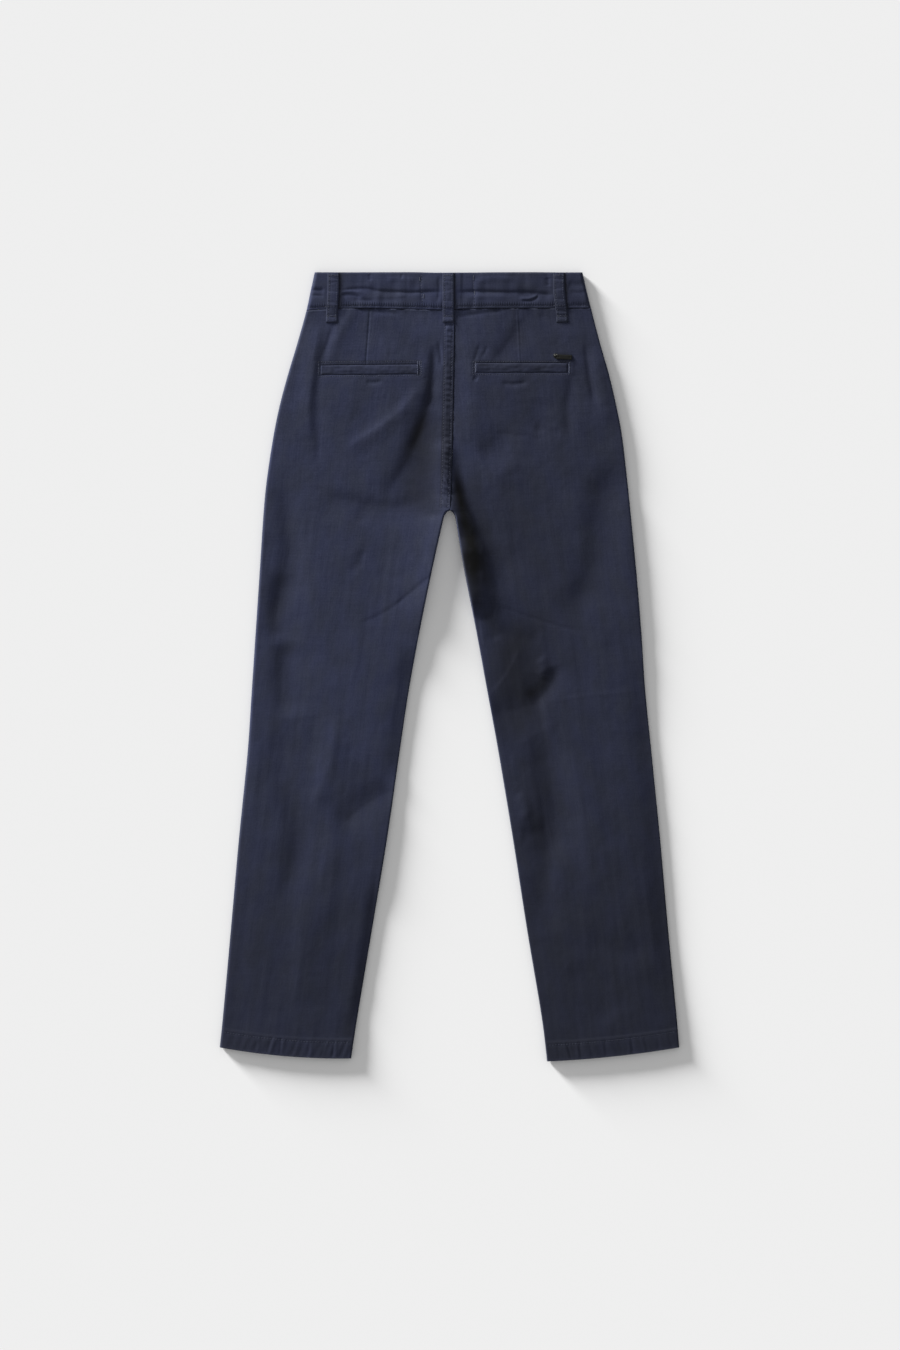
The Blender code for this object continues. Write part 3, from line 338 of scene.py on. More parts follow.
# Wrinkles of the back waistband, which its elastic draws in.
BAND_FOLDS = [Fold(*row) for row in [
    ([(-158, 413.4), (-148, 414.3), (-137, 414.4)], 1.8, 4, -0.7, 1.5),
    ([(-119, 413.6), (-104, 415.4), (-90, 415.6), (-76, 413.0)], 1.7, 4, -0.55, 1.5),
    ([(-86, 413.4), (-64, 412.4), (-41, 411.6), (-24, 412.2), (-8, 412.2)], 1.7, 4.2, -0.85, 1.4),
    ([(-120, 411.6), (-108, 412.8), (-96, 411.0)], 1.8, 2.2, 0.4, 1.6),
    ([(-120, 408.6), (-108, 408.9), (-100, 406.6), (-97, 404.4)], 1.7, 2.4, -0.5, 1.5),
    ([(-106, 403.8), (-94, 403.0), (-82, 402.6)], 2.0, 3.0, -0.4, 1.7),
    ([(-82, 404.6), (-64, 404.0), (-44, 405.4)], 2.2, 3.0, -0.2, 1.8),
    ([(6, 412.0), (30, 412.6), (60, 411.8), (84, 411.6)], 1.8, 4.2, -0.85, 1.4),
    ([(74, 412.0), (96, 410.4), (114, 408.6)], 2.4, 5, -0.9, 1.5),
    ([(76, 405.0), (86, 404.4), (94, 407.0), (97, 410.6)], 1.7, 2.2, 0.5, 1.5),
    ([(79, 402.6), (88, 402.4), (95, 405.0), (98, 409.0)], 1.5, 1.9, -0.7, 1.4),
    ([(130, 421.4), (139, 419.6), (150, 420.6)], 4, 5, -0.5, 1.8),
    ([(132, 412.4), (142, 411.2), (150, 412.0)], 2.0, 3.0, -0.3, 1.7),
    ([(133, 399.6), (142, 398.4), (154, 399.4)], 2.0, 2.4, -0.3, 1.6),
    ([(-156, 407.6), (-146, 408.2), (-138, 407.2)], 1.6, 2.2, -0.4, 1.6),
    ([(-70, 425.0), (-52, 426.5), (-36, 424.0)], 3, 4, 0.25),
    ([(28, 424.0), (52, 427.0), (76, 424.5)], 3, 4, 0.25),
    ([(-60, 408.0), (-44, 408.5), (-30, 408.0)], 3, 3, 0.2),
    ([(20, 406.5), (44, 407.5), (62, 406.0)], 3, 3, 0.25),
    # upright ones
    ([(-31.0, 431), (-31.4, 418), (-30.0, 398)], 2.2, 1.6, -0.26, 1.6),
    ([(-12.0, 430), (-11.4, 414), (-13.0, 400)], 3.4, 2.2, -0.45, 1.8),
    ([(26.2, 430), (26.6, 414), (27.4, 399)], 2.0, 1.6, -0.25, 1.6),
    ([(-88.0, 432), (-87.0, 424)], 2.0, 2.0, -0.3, 1.8),
    ([(-52.0, 432), (-53.0, 426)], 1.8, 1.8, -0.3, 1.8),
    ([(108.0, 428), (109.0, 418)], 2.6, 3.0, -0.4, 1.8),
]]

# The waist seam isn't straight: how much it stands above WAIST_SEAM_Y.
SeamRise = namedtuple("SeamRise", "x rise")
SEAM_RISES = [SeamRise(*row) for row in [
    (-160, 0.0), (-144, 1.0), (-118, 2.5), (-84, 2.7), (-44, 1.7),
    (-8, 0.7), (12, 1.8), (44, 2.7), (116, 2.7), (160, 2.7),
]]

SEAT_PUCKER_STEP = 6.6     # puckers along the seat seam
BAND_PUCKER_STEP = 1.9     # and along the waistband's stitching
HEM_PUCKER_STRENGTHS = (0.5, 1.0, 0.9, 0.4, 0.6)      # one after the other, again and again
HEM_PUCKER_LEANS = (0.112, 0.28)
HEM_PUCKERS = {            # plain distances from the middle
    -1: (211, 196, 184, 169, 153, 137, 126, 115),
    1: (118, 130, 142, 154, 170, 186, 199, 214, 228, 241),
}

# ---------------------------------------------------------------- small maths, on arrays


def smooth(t):
    """0 below 0, 1 above 1, and a soft S between them."""
    t = np.clip(t, 0.0, 1.0)
    return t * t * (3.0 - 2.0 * t)


def mix(a, b, t):
    return a + (b - a) * t


def box_bump(distance, half_width, slope):
    """1 within half_width of 0, falling softly to 0 over slope."""
    return 1.0 - smooth((np.abs(distance) - half_width) / slope)


def bell(distance, width):
    """1 at 0, and less and less on both sides of it."""
    return np.exp(-(distance / width) ** 2)


def fading(distance, reach):
    """1 at 0 and below, and less and less above."""
    return np.exp(-np.maximum(distance, 0.0) / reach)


def spike(distance, reach):
    """1 at 0, falling off sharply on both sides."""
    return np.exp(-np.abs(distance) / reach)


def along(table, side, y):
    """The table's width at height y, on a smooth curve through its rows."""
    widths = np.array([row.left if side < 0 else row.right for row in table])
    heights = np.array([row.y for row in table])
    last = len(table) - 1
    low, high = np.maximum(np.arange(last + 1) - 1, 0), np.minimum(np.arange(last + 1) + 1, last)
    slopes = (widths[high] - widths[low]) / (heights[high] - heights[low])
    y = np.asarray(y, float)
    k = np.clip(np.searchsorted(-heights[1:-1], -y, side="left"), 0, last - 1)
    step = heights[k + 1] - heights[k]
    t = (y - heights[k]) / step
    a, b = widths[k], widths[k + 1]
    inside = (a * (1 + 2 * t) * (1 - t) ** 2 + b * t * t * (3 - 2 * t)
              + slopes[k] * step * t * (1 - t) ** 2 + slopes[k + 1] * step * t * t * (t - 1))
    before = a + slopes[k] * (y - heights[k])
    after = b + slopes[k + 1] * (y - heights[k + 1])
    return np.where(t < 0, before, np.where(t > 1, after, inside))


def curve_through(points, steps):
    """Points on a smooth line through the given ones."""
    p = np.array(points, float)
    ends = np.vstack([2 * p[0] - p[1], p, 2 * p[-1] - p[-2]])
    made = []
    for i in range(len(p) - 1):
        a, b, c, d = ends[i:i + 4]
        for t in np.linspace(0, 1, steps, endpoint=False):
            made.append(0.5 * (2 * b + (c - a) * t + (2 * a - 5 * b + 4 * c - d) * t * t
                               + (3 * b - a - 3 * c + d) * t ** 3))
    return np.array(made + [p[-1]])


FOLD_FADE = 0.28           # the share of its length over which a fold grows to its height
FOLD_START = 0.2           # and how far on it is in that at its end
FOLD_REACH = 3.2           # half-widths past which nothing of it is left
FOLD_STEPS = 10            # straight steps between two of its points
LATTICE = 96               # random values each way, behind the unevenness
LATTICE_MIDDLE = (40.3, 47.7)


def width_at(width, place):
    return mix(width[0], width[1], place) if isinstance(width, tuple) else width


def fold_height(folds, x, y):
    """Sum of the folds' heights. Each fades out across its line and towards its ends."""
    total = np.zeros_like(x)
    for f in folds:
        line = curve_through(f.points, FOLD_STEPS)
        reach = FOLD_REACH * max(np.max(f.near), np.max(f.far))
        low, high = line.min(0) - reach, line.max(0) + reach
        close = (x > low[0]) & (x < high[0]) & (y > low[1]) & (y < high[1])
        if not close.any():
            continue
        px, py = x[close], y[close]
        nearest, signed, place = np.full(px.shape, 1e9), np.zeros(px.shape), np.zeros(px.shape)
        lengths = np.hypot(*np.diff(line, axis=0).T)
        passed, whole = 0.0, lengths.sum()
        for (ax, ay), (bx, by), length in zip(line[:-1], line[1:], lengths):
            dx, dy = (bx - ax) / length, (by - ay) / length
            run = np.clip((px - ax) * dx + (py - ay) * dy, 0, length)
            away = np.hypot(px - ax - run * dx, py - ay - run * dy)
            side = dx * (py - ay) - dy * (px - ax)
            closer = away < nearest
            nearest = np.where(closer, away, nearest)
            signed = np.where(closer, side, signed)
            place = np.where(closer, (passed + run) / whole, place)
            passed += length
        width = np.where(signed > 0, width_at(f.near, place), width_at(f.far, place))
        ends = smooth(place / FOLD_FADE + FOLD_START) * smooth((1.0 - place) / FOLD_FADE + FOLD_START)
        total[close] += f.height * ends * np.exp(-((nearest / width) ** f.soft))
    return total


def unevenness(x, y, across, lengthwise, seed):
    """Soft random height, about -1 to 1, with lumps of the given size."""
    lattice = np.random.default_rng(seed).uniform(-1, 1, (LATTICE, LATTICE))
    u, v = np.asarray(x) / across + LATTICE_MIDDLE[0], np.asarray(y) / lengthwise + LATTICE_MIDDLE[1]
    i, j = np.floor(u).astype(int), np.floor(v).astype(int)
    fu, fv = smooth(u - i), smooth(v - j)
    i, j = i % (LATTICE - 1), j % (LATTICE - 1)
    top = mix(lattice[i, j], lattice[i + 1, j], fu)
    bottom = mix(lattice[i, j + 1], lattice[i + 1, j + 1], fu)
    return mix(top, bottom, fv)


def curl(distance, width):
    """Quarter of an ellipse: 0 at the edge, 1 from width inwards."""
    t = np.clip(distance, 0.0, width) / width
    return np.sqrt(np.maximum(0.0, 1.0 - (1.0 - t) ** 2))


def even_shares(count):
    """Count even steps between 0 and 1, without both ends."""
    return [i / (count + 1) for i in range(1, count + 1)]


def refined(stops, step):
    """The stops, with evenly spaced values put between those further apart than step."""
    made = [stops[0]]
    for a, b in zip(stops[:-1], stops[1:]):
        count = max(1, math.ceil(abs(b - a) / step - 1e-9))
        made += [mix(a, b, i / count) for i in range(1, count + 1)]
    return made


def grids(rows):
    """Rows that each hold arrays of x, y and more, as one grid of x, one of y and so on."""
    return np.array(rows).transpose(1, 0, 2)


# ---------------------------------------------------------------- outline


def side_x(side, y):
    return side * along(SIDES, side, y)


def seat_seam_x(y):
    return SEAT_SEAM_TOP_X * np.sqrt(np.maximum(0.0, (y - CROTCH_Y) / (WAIST_SEAM_Y - CROTCH_Y)))


def seam_rise(x):
    return np.interp(x, [s.x for s in SEAM_RISES], [s.rise for s in SEAM_RISES])


def arch(y):
    """Opens from 0 at the crotch to 1 below its round top."""
    t = np.clip((CROTCH_Y - y) / ARCH_HEIGHT, 0.0, 1.0)
    return np.sqrt(1.0 - (1.0 - t) ** 2)


def inner_x(side, y, seam_x):
    opening = along(INSEAMS, side, np.minimum(y, CROTCH_Y)) * arch(y)
    return seam_x(y) + side * np.maximum(opening, GAP / 2)


def inseam_distance(side, x, y):
    """Distance to the curled inner edge of a leg, which starts at the crotch and runs round the arch."""
    far = np.abs(x - side * along(INSEAMS, side, y))
    nearest = np.full(x.shape, 1e9)
    before = (0.0, CROTCH_Y)
    steps = 14
    for i in range(1, steps + 1):
        arch_y = CROTCH_Y - 3.0 * ARCH_HEIGHT * (i / steps) ** 2
        point = (float(side * along(INSEAMS, side, arch_y) * arch(arch_y)), arch_y)
        dx, dy = point[0] - before[0], point[1] - before[1]
        t = np.clip(((x - before[0]) * dx + (y - before[1]) * dy) / (dx * dx + dy * dy), 0, 1)
        nearest = np.minimum(nearest, np.hypot(x - before[0] - t * dx, y - before[1] - t * dy))
        before = point
    top = np.hypot(x, y - CROTCH_Y)
    return np.where(y > CROTCH_Y, top, np.where(y < CROTCH_Y - 2.0 * ARCH_HEIGHT, far, nearest))


def hem_y(side, x):
    """Lower edge of the leg under the point x."""
    outer = abs(float(side_x(side, SIDE_HEM_Y)))
    inner = float(along(INSEAMS, side, INSEAM_HEM_Y[side]))
    f = (outer - np.abs(x)) / (outer - inner)
    return mix(SIDE_HEM_Y, INSEAM_HEM_Y[side], f) - HEM_BOW[side] * 4.0 * f * (1.0 - f)


def slant_x(side, y):
    """Edge of the front panel along its slant pocket."""
    t = (WAIST_SEAM_Y - y) / (WAIST_SEAM_Y - SLANT_BOTTOM_Y)
    return side_x(side, y) - side * mix(SLANT_TOP_INSET, SLANT_BOTTOM_INSET, t)


def front_seam_x(y):
    return FRONT_EDGE_X * smooth((y - CROTCH_Y - 20.0) / (FLY_BOTTOM_Y - CROTCH_Y - 20.0))


def leg_row(side, y, seam_x):
    """Both ends of a row, which turns from level at the crotch to the slant of the hem."""
    turned = float(smooth((CROTCH_Y - y) / (CROTCH_Y - HEM_MIDDLE_Y[side] - 2.0 * HEM_HEIGHT)))
    skew = (SIDE_HEM_Y - INSEAM_HEM_Y[side]) / 2
    in_y = y - turned * skew
    return y + turned * skew, in_y, HEM_BOW[side] * turned, float(inner_x(side, in_y, seam_x))


def curl_steps(width, count):
    """Steps in from a curled edge: two for its lip, then round the curl."""
    return [0.0, 0.0] + [width * (1.0 - math.cos(math.radians(90 * (i + 1) / count))) for i in range(count)]


def panel_heights(side, rows, hem_rows, hem_turn):
    """Heights of a panel's rows, each with how far its hem has turned in by then."""
    near_hem = [(height, 0.0) for height in hem_rows] + hem_turn
    return [(y, 0.0) for y in rows] + [(HEM_MIDDLE_Y[side] + height, turned) for height, turned in near_hem]


def curled_share(y):
    """How much of its curl a panel's inner edge has at height y: all of it below the crotch."""
    return float(smooth((CROTCH_Y + CROTCH_FADE + 1.0 - y) / CROTCH_FADE))


def row_points(outer_x, outer_y, in_x, in_y, bow, outer_steps, middle, inner_steps):
    """Plan positions along a row: fixed steps in from both edges, and fractions between them."""
    direction = 1.0 if in_x > outer_x else -1.0
    xs = [outer_x + direction * step for step in outer_steps]
    start, end = xs[-1], in_x - direction * inner_steps[-1]
    xs += [mix(start, end, fraction) for fraction in middle]
    xs += [in_x - direction * step for step in reversed(inner_steps)]
    xs = np.array(xs)
    f = (xs - outer_x) / (in_x - outer_x)
    return xs, mix(outer_y, in_y, f) - bow * 4.0 * f * (1.0 - f)


# ---------------------------------------------------------------- relief of the back


def dart_x(dart, y):
    return mix(dart.bottom_x, dart.top_x, (y - dart.bottom_y) / (WAIST_SEAM_Y - dart.bottom_y))


def pocket_tilt(side):
    return POCKETS[side].rise / POCKETS[side].length * -side


def pocket_frame(side, x, y):
    """Distances from the pocket's middle, along it and across it."""
    pocket = POCKETS[side]
    return x - pocket.x, (y - pocket.y) - (x - pocket.x) * pocket_tilt(side)


def pocket_relief(side, x, y):
    """The recess that the welt lies in, its pulled-up corners, and fine puckers along its edges."""
    pocket = POCKETS[side]
    lengthwise, off_line = pocket_frame(side, x, y)
    in_length = box_bump(lengthwise, pocket.length / 2 - WELT_END_MARGIN - 0.2, 1.2)
    recess = -POCKET_DEPTH * box_bump(off_line, WELT_HEIGHT / 2 - 0.1, 1.0) * in_length
    top_row, low_row = pocket.frame_rise + pocket.frame_half, pocket.frame_rise - pocket.frame_half
    comb = bell(off_line - top_row + 1.9, 1.7) + 0.4 * bell(off_line - low_row + 1.0, 1.5)
    ripple = 0.11 * np.sin(x / 0.62 + 2.0 * unevenness(x, y, 9, 9, 5)) * comb * in_length
    ripple -= 0.10 * (bell(off_line - top_row, 0.8) + bell(off_line - low_row, 0.8)) * in_length
    pull = 0.18 * bell(np.abs(lengthwise) - pocket.length / 2 - 2.5, 2.5)
    pull *= box_bump(off_line, pocket.frame_half - 1.0, 4.0)
    return recess + ripple + pull


def dart_relief(side, x, y):
    """A stitched groove from the waist to the welt, with the cloth swelling a little beside it."""
    dart = DARTS[side]
    off = np.abs(x - dart_x(dart, y))
    fade = smooth((y - dart.bottom_y + 4.0) / 6.0) * (y > dart.bottom_y - 4.0)
    groove = np.maximum(0.0, 1.0 - off / dart.half_width) ** 1.3
    swell = 0.06 * bell(off - 5.0, 4.0)
    ripple = 0.035 * np.sin(y / 1.25 + 1.7 * unevenness(x, y, 6, 14, 8)) * bell(off, 3.6)
    return fade * (swell + ripple - dart.depth * groove)


def seat_relief(side, x, y):
    """The felled seat seam: the left panel carries the raised band, and the right one dips under its edge."""
    offset = x - seat_seam_x(y)
    distance = np.abs(offset)
    fade = smooth((y - CROTCH_Y) / CROTCH_FADE)
    if side > 0:
        return -SEAT_DIP * fade * (1.0 - smooth(distance / SEAT_DIP_WIDTH))
    band = 1.0 - smooth((distance - SEAT_BAND_WIDTH + SEAT_BAND_SLOPE) / SEAT_BAND_SLOPE)
    low = 1.0 - smooth((y - CROTCH_Y - 30.0) / 60.0)
    turn = 2 * math.pi * (y + mix(0.25, 0.95, low) * offset) / SEAT_PUCKER_STEP
    turn += 2.6 * unevenness(x * 0, y, 10, 15, 3)
    strength = mix(0.34, 0.55, low) * (0.75 + 0.55 * unevenness(x * 0, y, 10, 19, 4))
    across = bell(distance - 6.0, 3.4)
    ditch = -0.25 * bell(distance - 10.2, 1.2) - 0.25 * bell(distance - 2.4, 1.0)
    wobble = 0.18 * unevenness(x, y, 3.0, 4.0, 7)
    return fade * band * (SEAT_BAND_HEIGHT + strength * across * np.sin(turn) + ditch + wobble)


def hem_relief(side, x, y):
    """The turned hem: a step up, a ditch along its stitching, and slanting puckers."""
    height = y - hem_y(side, x)
    inside = 1.0 - smooth((height - HEM_HEIGHT) / HEM_SLOPE)
    ditch = -0.12 * bell(height - HEM_HEIGHT + 2.6, 1.1)
    puckers = np.zeros_like(x)
    for i, place in enumerate(HEM_PUCKERS[side]):
        off = np.abs(x) - place + HEM_PUCKER_LEANS[i % 2] * (height - HEM_HEIGHT / 2)
        puckers += HEM_PUCKER_STRENGTHS[i % 5] * (0.14 * bell(off + 1.4, 1.8) - 0.19 * bell(off - 1.6, 1.6))
    puckers += 0.045 * np.sin(np.abs(x) / 1.5 + 0.3 * height + 2.0 * unevenness(x, y, 21, 40, 6))
    puckers *= box_bump(height - 10.5, 6.0, 5.0)
    return inside * (HEM_STEP + ditch) + puckers


def waist_gathers(x, y):
    """Short gathers that hang from the waist seam."""
    below = WAIST_SEAM_Y + seam_rise(x) - y
    fall = fading(below, 7.0)
    wave = np.sin(x / 2.1 + 2.6 * unevenness(x, y * 0, 15, 10, 9))
    wave = wave * (0.55 + 0.45 * unevenness(x, y, 26, 26, 10))
    return (0.14 * wave + 0.42) * fall


def broad_unevenness(side, x, y):
    """What hand smoothing leaves in the cloth: long soft lumps down the legs and smaller ones across them."""
    legs = smooth((CROTCH_Y + 60.0 - y) / 140.0)
    lean = x + side * 0.13 * y
    lumps = 0.14 * unevenness(lean, y, 17, 110, 21) * mix(0.45, 1.0, legs)
    lumps += 0.07 * unevenness(lean, y, 6, 60, 25) * mix(0.3, 1.0, legs)
    lumps += 0.16 * unevenness(x, y, 30, 24, 22)
    fine = 0.06 * unevenness(x + 0.3 * y, y, 9, 12, 23) + 0.035 * unevenness(x, y, 4.5, 5.5, 24)
    lumps += fine * mix(1.4, 1.0, legs)
    return lumps


def back_surface(side, x, y):
    """Height of a back panel's outer surface, and of its creases alone."""
    outer = side_x(side, y)
    middle = np.where(y > CROTCH_Y, seat_seam_x(y), side * along(INSEAMS, side, y))
    across = np.clip((x - outer) / (middle - outer), 0.0, 1.0)
    waist = smooth((WAIST_SEAM_Y - y) / CROWN_FADE)
    plateau = BACK_Z + CROWN * waist * np.sin(math.pi * across) ** 0.7
    creases = fold_height(FOLDS, x, y) + broad_unevenness(side, x, y) + waist_gathers(x, y)
    plateau += creases + seat_relief(side, x, y) + hem_relief(side, x, y)
    plateau += pocket_relief(side, x, y) + dart_relief(side, x, y)
    plateau = np.maximum(plateau, LOWEST_BACK_Z)
    rounded = curl(np.abs(x - outer), OUTER_CURL[side]) * curl(inseam_distance(side, x, y), INNER_CURL)
    return BACK_FOOT_Z + (plateau - BACK_FOOT_Z) * rounded, creases


def painted_light_and_shade(x, y):
    """Painted light and shade, as a share of the colour: painted lighter by the waist, painted darker towards
    the hems and to the right, and darker still along the lines of painted shade down in the creases."""
    share = 1.0 + WAIST_PAINTED_LIGHTER * smooth((y - 300.0) / 110.0) - HEMS_PAINTED_DARKER * smooth((-60.0 - y) / 290.0)
    return share * (1.0 - RIGHT_PAINTED_DARKER * smooth((x - 5.0) / 75.0)) * (1.0 - fold_height(PAINTED_SHADE_LINES, x, y))


# ---------------------------------------------------------------- making meshes

solids = {}                # name of a shell: its outer surface, as a tree for rays
cuts = {}                  # name of a shell: width, length and area of its flat cut


def grid_faces(rows, columns, face_up):
    """Quads between the rows and columns of a grid."""
    first = (np.arange(rows - 1)[:, None] * columns + np.arange(columns - 1)[None, :]).ravel()
    order = (0, 1, columns + 1, columns) if face_up else (columns, columns + 1, 1, 0)
    return np.stack([first + step for step in order], 1)


def set_attribute(mesh, name, kind, values):
    made = mesh.attributes.new(name, kind, "POINT")
    made.data.foreach_set("value" if kind == "FLOAT" else "vector", values.astype(np.float32).ravel())


def added(name, data):
    """A new object in the scene."""
    made = bpy.data.objects.new(name, data)
    bpy.context.scene.collection.objects.link(made)
    return made


def mesh_from(name, shape):
    """A mesh from a bmesh, which is freed."""
    mesh = bpy.data.meshes.new(name)
    shape.to_mesh(mesh)
    shape.free()
    return mesh


def show(name, mesh, finish):
    """A finished piece on the garment's one body."""
    mesh.materials.append(finish)
    mesh.shade_smooth()
    made = added(name, mesh)
    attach(made, BODY)
    return made


def cloth(node, x, y, z, wall, face_up, finish, wear, grain, tone=1.0, open_inside=False):
    """A shell of cloth from a grid, thickened away from the side that shows, in the place of its node.

    grain is each point's place in the flat cloth, across and along its warp, wear how much it is rubbed, and
    tone a factor on its colour, for random variation and for painted light and shade. A shell that is open
    inside has its thickness along its edges alone."""
    name = "cloth_" + node.removeprefix("pocket_")
    rows, columns = x.shape
    points = np.stack([x, y, z], -1)
    faces = grid_faces(rows, columns, face_up)
    mesh = bpy.data.meshes.new(name)
    mesh.from_pydata(points.reshape(-1, 3) * MM, [], faces.tolist())
    u, v = grain
    set_attribute(mesh, "grain", "FLOAT_VECTOR", np.stack([u, v, np.zeros_like(u)], -1))
    set_attribute(mesh, "wear", "FLOAT", np.clip(wear, 0.0, 1.0) * np.ones_like(x))
    # each point's factor on its colour: random variation, times painted light and shade
    set_attribute(mesh, "tone", "FLOAT", tone * painted_light_and_shade(x, y))
    made = show(name, mesh, finish)
    solidify = made.modifiers.new("wall", "SOLIDIFY")
    solidify.thickness = wall * MM
    solidify.offset = -1.0
    solidify.use_quality_normals = True
    solidify.use_rim_only = open_inside
    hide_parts(node)
    solids[name] = BVHTree.FromPolygons([tuple(p) for p in points.reshape(-1, 3)], faces.tolist())
    cuts[name] = flat_cut(x, y)


def flat_cut(x, y):
    """Width, length and area of a grid seen in plan."""
    width = (x.max(1) - x.min(1)).max()
    length = y.max() - y.min()
    across = np.stack([x[1:, 1:] - x[:-1, :-1], y[1:, 1:] - y[:-1, :-1]])
    along_it = np.stack([x[1:, :-1] - x[:-1, 1:], y[1:, :-1] - y[:-1, 1:]])
    area = np.abs(across[0] * along_it[1] - across[1] * along_it[0]).sum() / 2
    return width, length, area


def surface_z(names, x, y, from_above=True):
    """Height of the outermost of the named shells at (x, y), or None past their edges."""
    start = Vector((x, y, 100.0 if from_above else -100.0))
    ray = Vector((0, 0, -1.0 if from_above else 1.0))
    hits = [hit.z for hit in (solids[name].ray_cast(start, ray)[0] for name in names) if hit is not None]
    if not hits:
        return None
    return max(hits) if from_above else min(hits)


# ---------------------------------------------------------------- back panels

BACK_ROWS = refined([391.3, 340.0], 1.5) + refined([339.4, 313.0], 0.8) + refined([312.0, 179.5], 1.5) \
    + [178.2, 177.0, 176.0, 175.0, 174.0, 173.2, 172.5, 172.0]
LEG_ROWS = [171.4, 171.0, 170.4, 169.5, 168.4, 167.0, 165.4, 163.6, 161.5, 159.0] \
    + refined([157.0, -385.0], 1.7)
HEM_ROWS = refined([38.0, 24.0], 1.7) + refined([23.0, 16.0], 0.8) + refined([15.0, 1.6], 1.3) \
    + [0.9, 0.4, 0.1]
HEM_TURN = [(0.0, 0.25), (0.0, 0.6), (0.15, 0.95), (0.6, 1.2), (3.0, 1.35)]     # height, and how far below
FLAT_STEPS = {-1: [0.0, 0.4, 1.0, 1.8, 2.6, 3.5, 4.5, 5.5, 6.5, 7.5, 8.5, 9.4, 10.2, 10.8, 11.4, 12.0, 12.8],
              1: [0.0, 0.3, 0.7, 1.2, 1.8, 2.4, 3.1, 3.8, 4.6, 5.4, 6.3, 7.2, 8.2, 9.3, 10.4, 11.6, 12.8]}
INNER_CURLED = curl_steps(INNER_CURL, 8) + [2.6, 4.0, 5.6, 7.3, 9.1, 10.9, 12.8]
OUTER_STEPS = {side: curl_steps(OUTER_CURL[side], 8) + refined([OUTER_CURL[side], 7.4], 1.5)[1:]
               for side in SIDE_WORDS}
MIDDLE_COLUMNS = 112
DART_ROWS_BELOW = 6.0      # the columns follow the dart to this far below its end
DART_OFFSETS = (4.0, 2.6, 1.6, 0.8, 0.0, -0.8, -1.6, -2.6, -4.0)


def middle_shares(side, y, outer_x, in_x, inner_step, before):
    """Shares of a row's width between its steps, even but for a few close columns that follow the dart."""
    dart = DARTS[side]
    start, end = outer_x - side * OUTER_STEPS[side][-1], in_x + side * inner_step
    places = [float((dart_x(dart, y) + side * off - start) / (end - start)) for off in DART_OFFSETS]
    before = round(MIDDLE_COLUMNS * places[0]) if before is None else before
    after = MIDDLE_COLUMNS - before
    return ([mix(0.0, places[0], i / (before + 1)) for i in range(1, before + 1)] + places
            + [mix(places[-1], 1.0, i / (after + 1)) for i in range(1, after + 1)]), before


def back_wear(side, x, y, creases):
    """Rubbed along the hem's fold and stitching, the pocket's frame and the crests of creases."""
    height = y - hem_y(side, x)
    wear = 0.6 * fading(height, 1.4) * (height < 40)
    wear += 0.1 * spike(height - HEM_HEIGHT + 1.0, 1.2)
    pocket = POCKETS[side]
    lengthwise, off_line = pocket_frame(side, x, y)
    on_frame = spike(np.abs(off_line - pocket.frame_rise) - pocket.frame_half - 0.3, 0.8)
    wear += 0.2 * on_frame * box_bump(lengthwise, pocket.length / 2, 3.0)
    wear += 0.25 * smooth(creases / 1.5) * unevenness(x, y, 6, 9, 71)
    return wear


def back_painted_shade(side, x, y, creases):
    """Painted shade, as a share of the colour: darker down in the creases, under the waistband, on the seat
    band (partly its own darker colour), over the hem, over the welt and along the pocket's top row.
    """
    pocket = POCKETS[side]
    height = y - hem_y(side, x)
    lengthwise, off_line = pocket_frame(side, x, y)
    on_band = box_bump(x - seat_seam_x(y) + 6.0, 5.6, 1.8) * smooth((y - CROTCH_Y - 1.0) / 6.0) * (side < 0)
    on_band *= np.interp(y, *zip(*SEAT_BAND_SHADE))
    over_hem = 0.24 * bell(height - HEM_HEIGHT - 1.1, 1.2) + 0.07 * (height < HEM_HEIGHT)
    top_row = pocket.frame_rise + pocket.frame_half
    welt_top = WELT_HEIGHT / 2
    over_welt = box_bump(off_line - (top_row + welt_top) / 2, (top_row - welt_top) / 2 - 0.3, 0.8)
    over_welt = 0.32 * over_welt * box_bump(lengthwise, pocket.length / 2 - 4.0, 6.0)
    on_top_row = 0.25 * bell(off_line - top_row - 0.3, 0.9) * box_bump(lengthwise, pocket.length / 2, 4.0)
    under_band = 0.4 * bell(WAIST_SEAM_Y + seam_rise(x) - 0.6 - y, 1.0)
    # painted shade down in the creases, with the other painted shade multiplied in below
    tone = 1.0 - HOLLOWS_PAINTED_DARKER * smooth(-creases / 2.4)
    for painted_shade_share in (under_band, on_band, over_hem, over_welt, on_top_row):
        tone = tone * (1.0 - painted_shade_share)
    return tone


